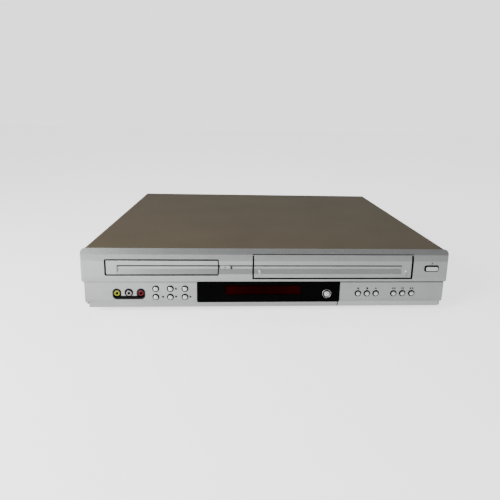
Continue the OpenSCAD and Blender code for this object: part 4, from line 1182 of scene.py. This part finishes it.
@dataclass
class Studio:
    """Floor, soft lights and the camera at the photograph's place."""

    place: Point = (-0.0397, -0.6368, 0.2300)
    yaw: float = 4.16
    pitch: float = 11.05
    roll: float = -1.53
    frame_px: float = 500.0
    focal_px: float = 417.7
    centre_px: Pair = (266.4, 197.9)
    sensor: float = 36.0
    backdrop: float = 1.92
    ground_seen: float = 1.6
    ground: Finish = Finish("floor_pale", pale(0.88), pale(0.90), rough=(0.7, 0.8), specular=0.1,
                            glow=pale(1.0), glow_strength=0.10)
    ground_half: float = 6.0
    rise_span: Pair = (-0.05, 0.75)
    rise_levels: Pair = (0.7, 0.29)
    depth_span: Pair = (-0.5, 0.6)
    depth_levels: Pair = (0.8, 0.7)
    lamps: tuple[Lamp, ...] = (
        Lamp("lamp_left", (-0.75, -0.75, 0.45), (-0.2, -0.3, 0.02), 0.5, 19.0),
        Lamp("lamp_top", (0.2, 0.5, 1.8), (0.0, 0.0, 0.0), 1.0, 8.0))

    def build(self) -> None:
        """Make floor, world light, lamps and camera."""
        self.floor()
        self.sky()
        for lamp in self.lamps:
            lamp.build()
        self.camera()

    def floor(self) -> None:
        """A plain pale floor, which looks brighter to the camera than it shines on the object."""
        bm = bmesh.new()
        bmesh.ops.create_grid(bm, x_segments=1, y_segments=1, size=self.ground_half)
        ground = new_object("studio_floor", mesh_from(bm, "studio_floor"))
        coat = paint(self.ground)
        nodes, links = coat.node_tree.nodes, coat.node_tree.links
        path, choice = nodes.new("ShaderNodeLightPath"), nodes.new("ShaderNodeMix")
        choice.inputs["A"].default_value = self.ground.glow_strength
        choice.inputs["B"].default_value = self.ground_seen
        links.new(path.outputs["Is Camera Ray"], choice.inputs["Factor"])
        links.new(choice.outputs["Result"], nodes["Principled BSDF"].inputs["Emission Strength"])
        ground.data.materials.append(coat)

    def sky(self) -> None:
        """A world that is pale to the camera and graded grey to the object."""
        world = bpy.data.worlds.new("studio")
        world.use_nodes = True
        nodes, links = world.node_tree.nodes, world.node_tree.links
        coords, split = nodes.new("ShaderNodeTexCoord"), nodes.new("ShaderNodeSeparateXYZ")
        links.new(coords.outputs["Generated"], split.inputs["Vector"])
        height = self.graded(world, split.outputs["Z"], self.rise_span, self.rise_levels)
        facing = self.graded(world, split.outputs["Y"], self.depth_span, self.depth_levels)
        product = nodes.new("ShaderNodeMath")
        product.operation = "MULTIPLY"
        links.new(height, product.inputs[0])
        links.new(facing, product.inputs[1])
        path, choice = nodes.new("ShaderNodeLightPath"), nodes.new("ShaderNodeMix")
        links.new(path.outputs["Is Camera Ray"], choice.inputs["Factor"])
        links.new(product.outputs["Value"], choice.inputs["A"])
        choice.inputs["B"].default_value = self.backdrop
        nodes["Background"].inputs["Color"].default_value = (1.0, 1.0, 1.0, 1.0)
        links.new(choice.outputs["Result"], nodes["Background"].inputs["Strength"])
        bpy.context.scene.world = world

    @staticmethod
    def graded(world: bpy.types.World, value: bpy.types.NodeSocket, span: Pair,
               levels: Pair) -> bpy.types.NodeSocket:
        """Map a direction's part onto a level.

        Args:
            world: the world.
            value: the direction's part.
            span: values at which the two levels are reached.
            levels: the two levels.

        Returns:
            The level's socket.
        """
        mapper = world.node_tree.nodes.new("ShaderNodeMapRange")
        for socket, number in zip(("From Min", "From Max", "To Min", "To Max"), (*span, *levels)):
            mapper.inputs[socket].default_value = number
        world.node_tree.links.new(value, mapper.inputs["Value"])
        return mapper.outputs["Result"]

    def camera(self) -> None:
        """The camera, from the angles that fit the photograph."""
        yaw, pitch, roll = (math.radians(a) for a in (self.yaw, self.pitch, self.roll))
        ahead = Vector((math.sin(yaw) * math.cos(pitch), math.cos(yaw) * math.cos(pitch), -math.sin(pitch)))
        right = Vector((math.cos(yaw), -math.sin(yaw), 0.0))
        down = ahead.cross(right)
        across = right * math.cos(roll) + down * math.sin(roll)
        fall = -right * math.sin(roll) + down * math.cos(roll)
        data = bpy.data.cameras.new("camera")
        data.sensor_width = self.sensor
        data.lens = self.sensor * self.focal_px / self.frame_px
        data.shift_x = (self.frame_px / 2 - self.centre_px[0]) / self.frame_px
        data.shift_y = (self.centre_px[1] - self.frame_px / 2) / self.frame_px
        camera = bpy.data.objects.new("camera", data)
        turn = Matrix((across, -fall, -ahead)).transposed().to_4x4()
        camera.matrix_world = Matrix.Translation(self.place) @ turn
        bpy.context.scene.collection.objects.link(camera)
        bpy.context.scene.camera = camera


def main() -> None:
    """Build every sub-assembly in order."""
    logging.basicConfig(level=logging.INFO, format="%(name)s: %(message)s")
    rows = RowTree("shape_on_points")
    Studio().build()
    CaseShell().build(rows)
    FrontFace().build()
    KeyBank().build()
    JackBank().build(rows)
    DiscLoader().build()
    TapeDeck().build()


if __name__ == "__main__":
    main()
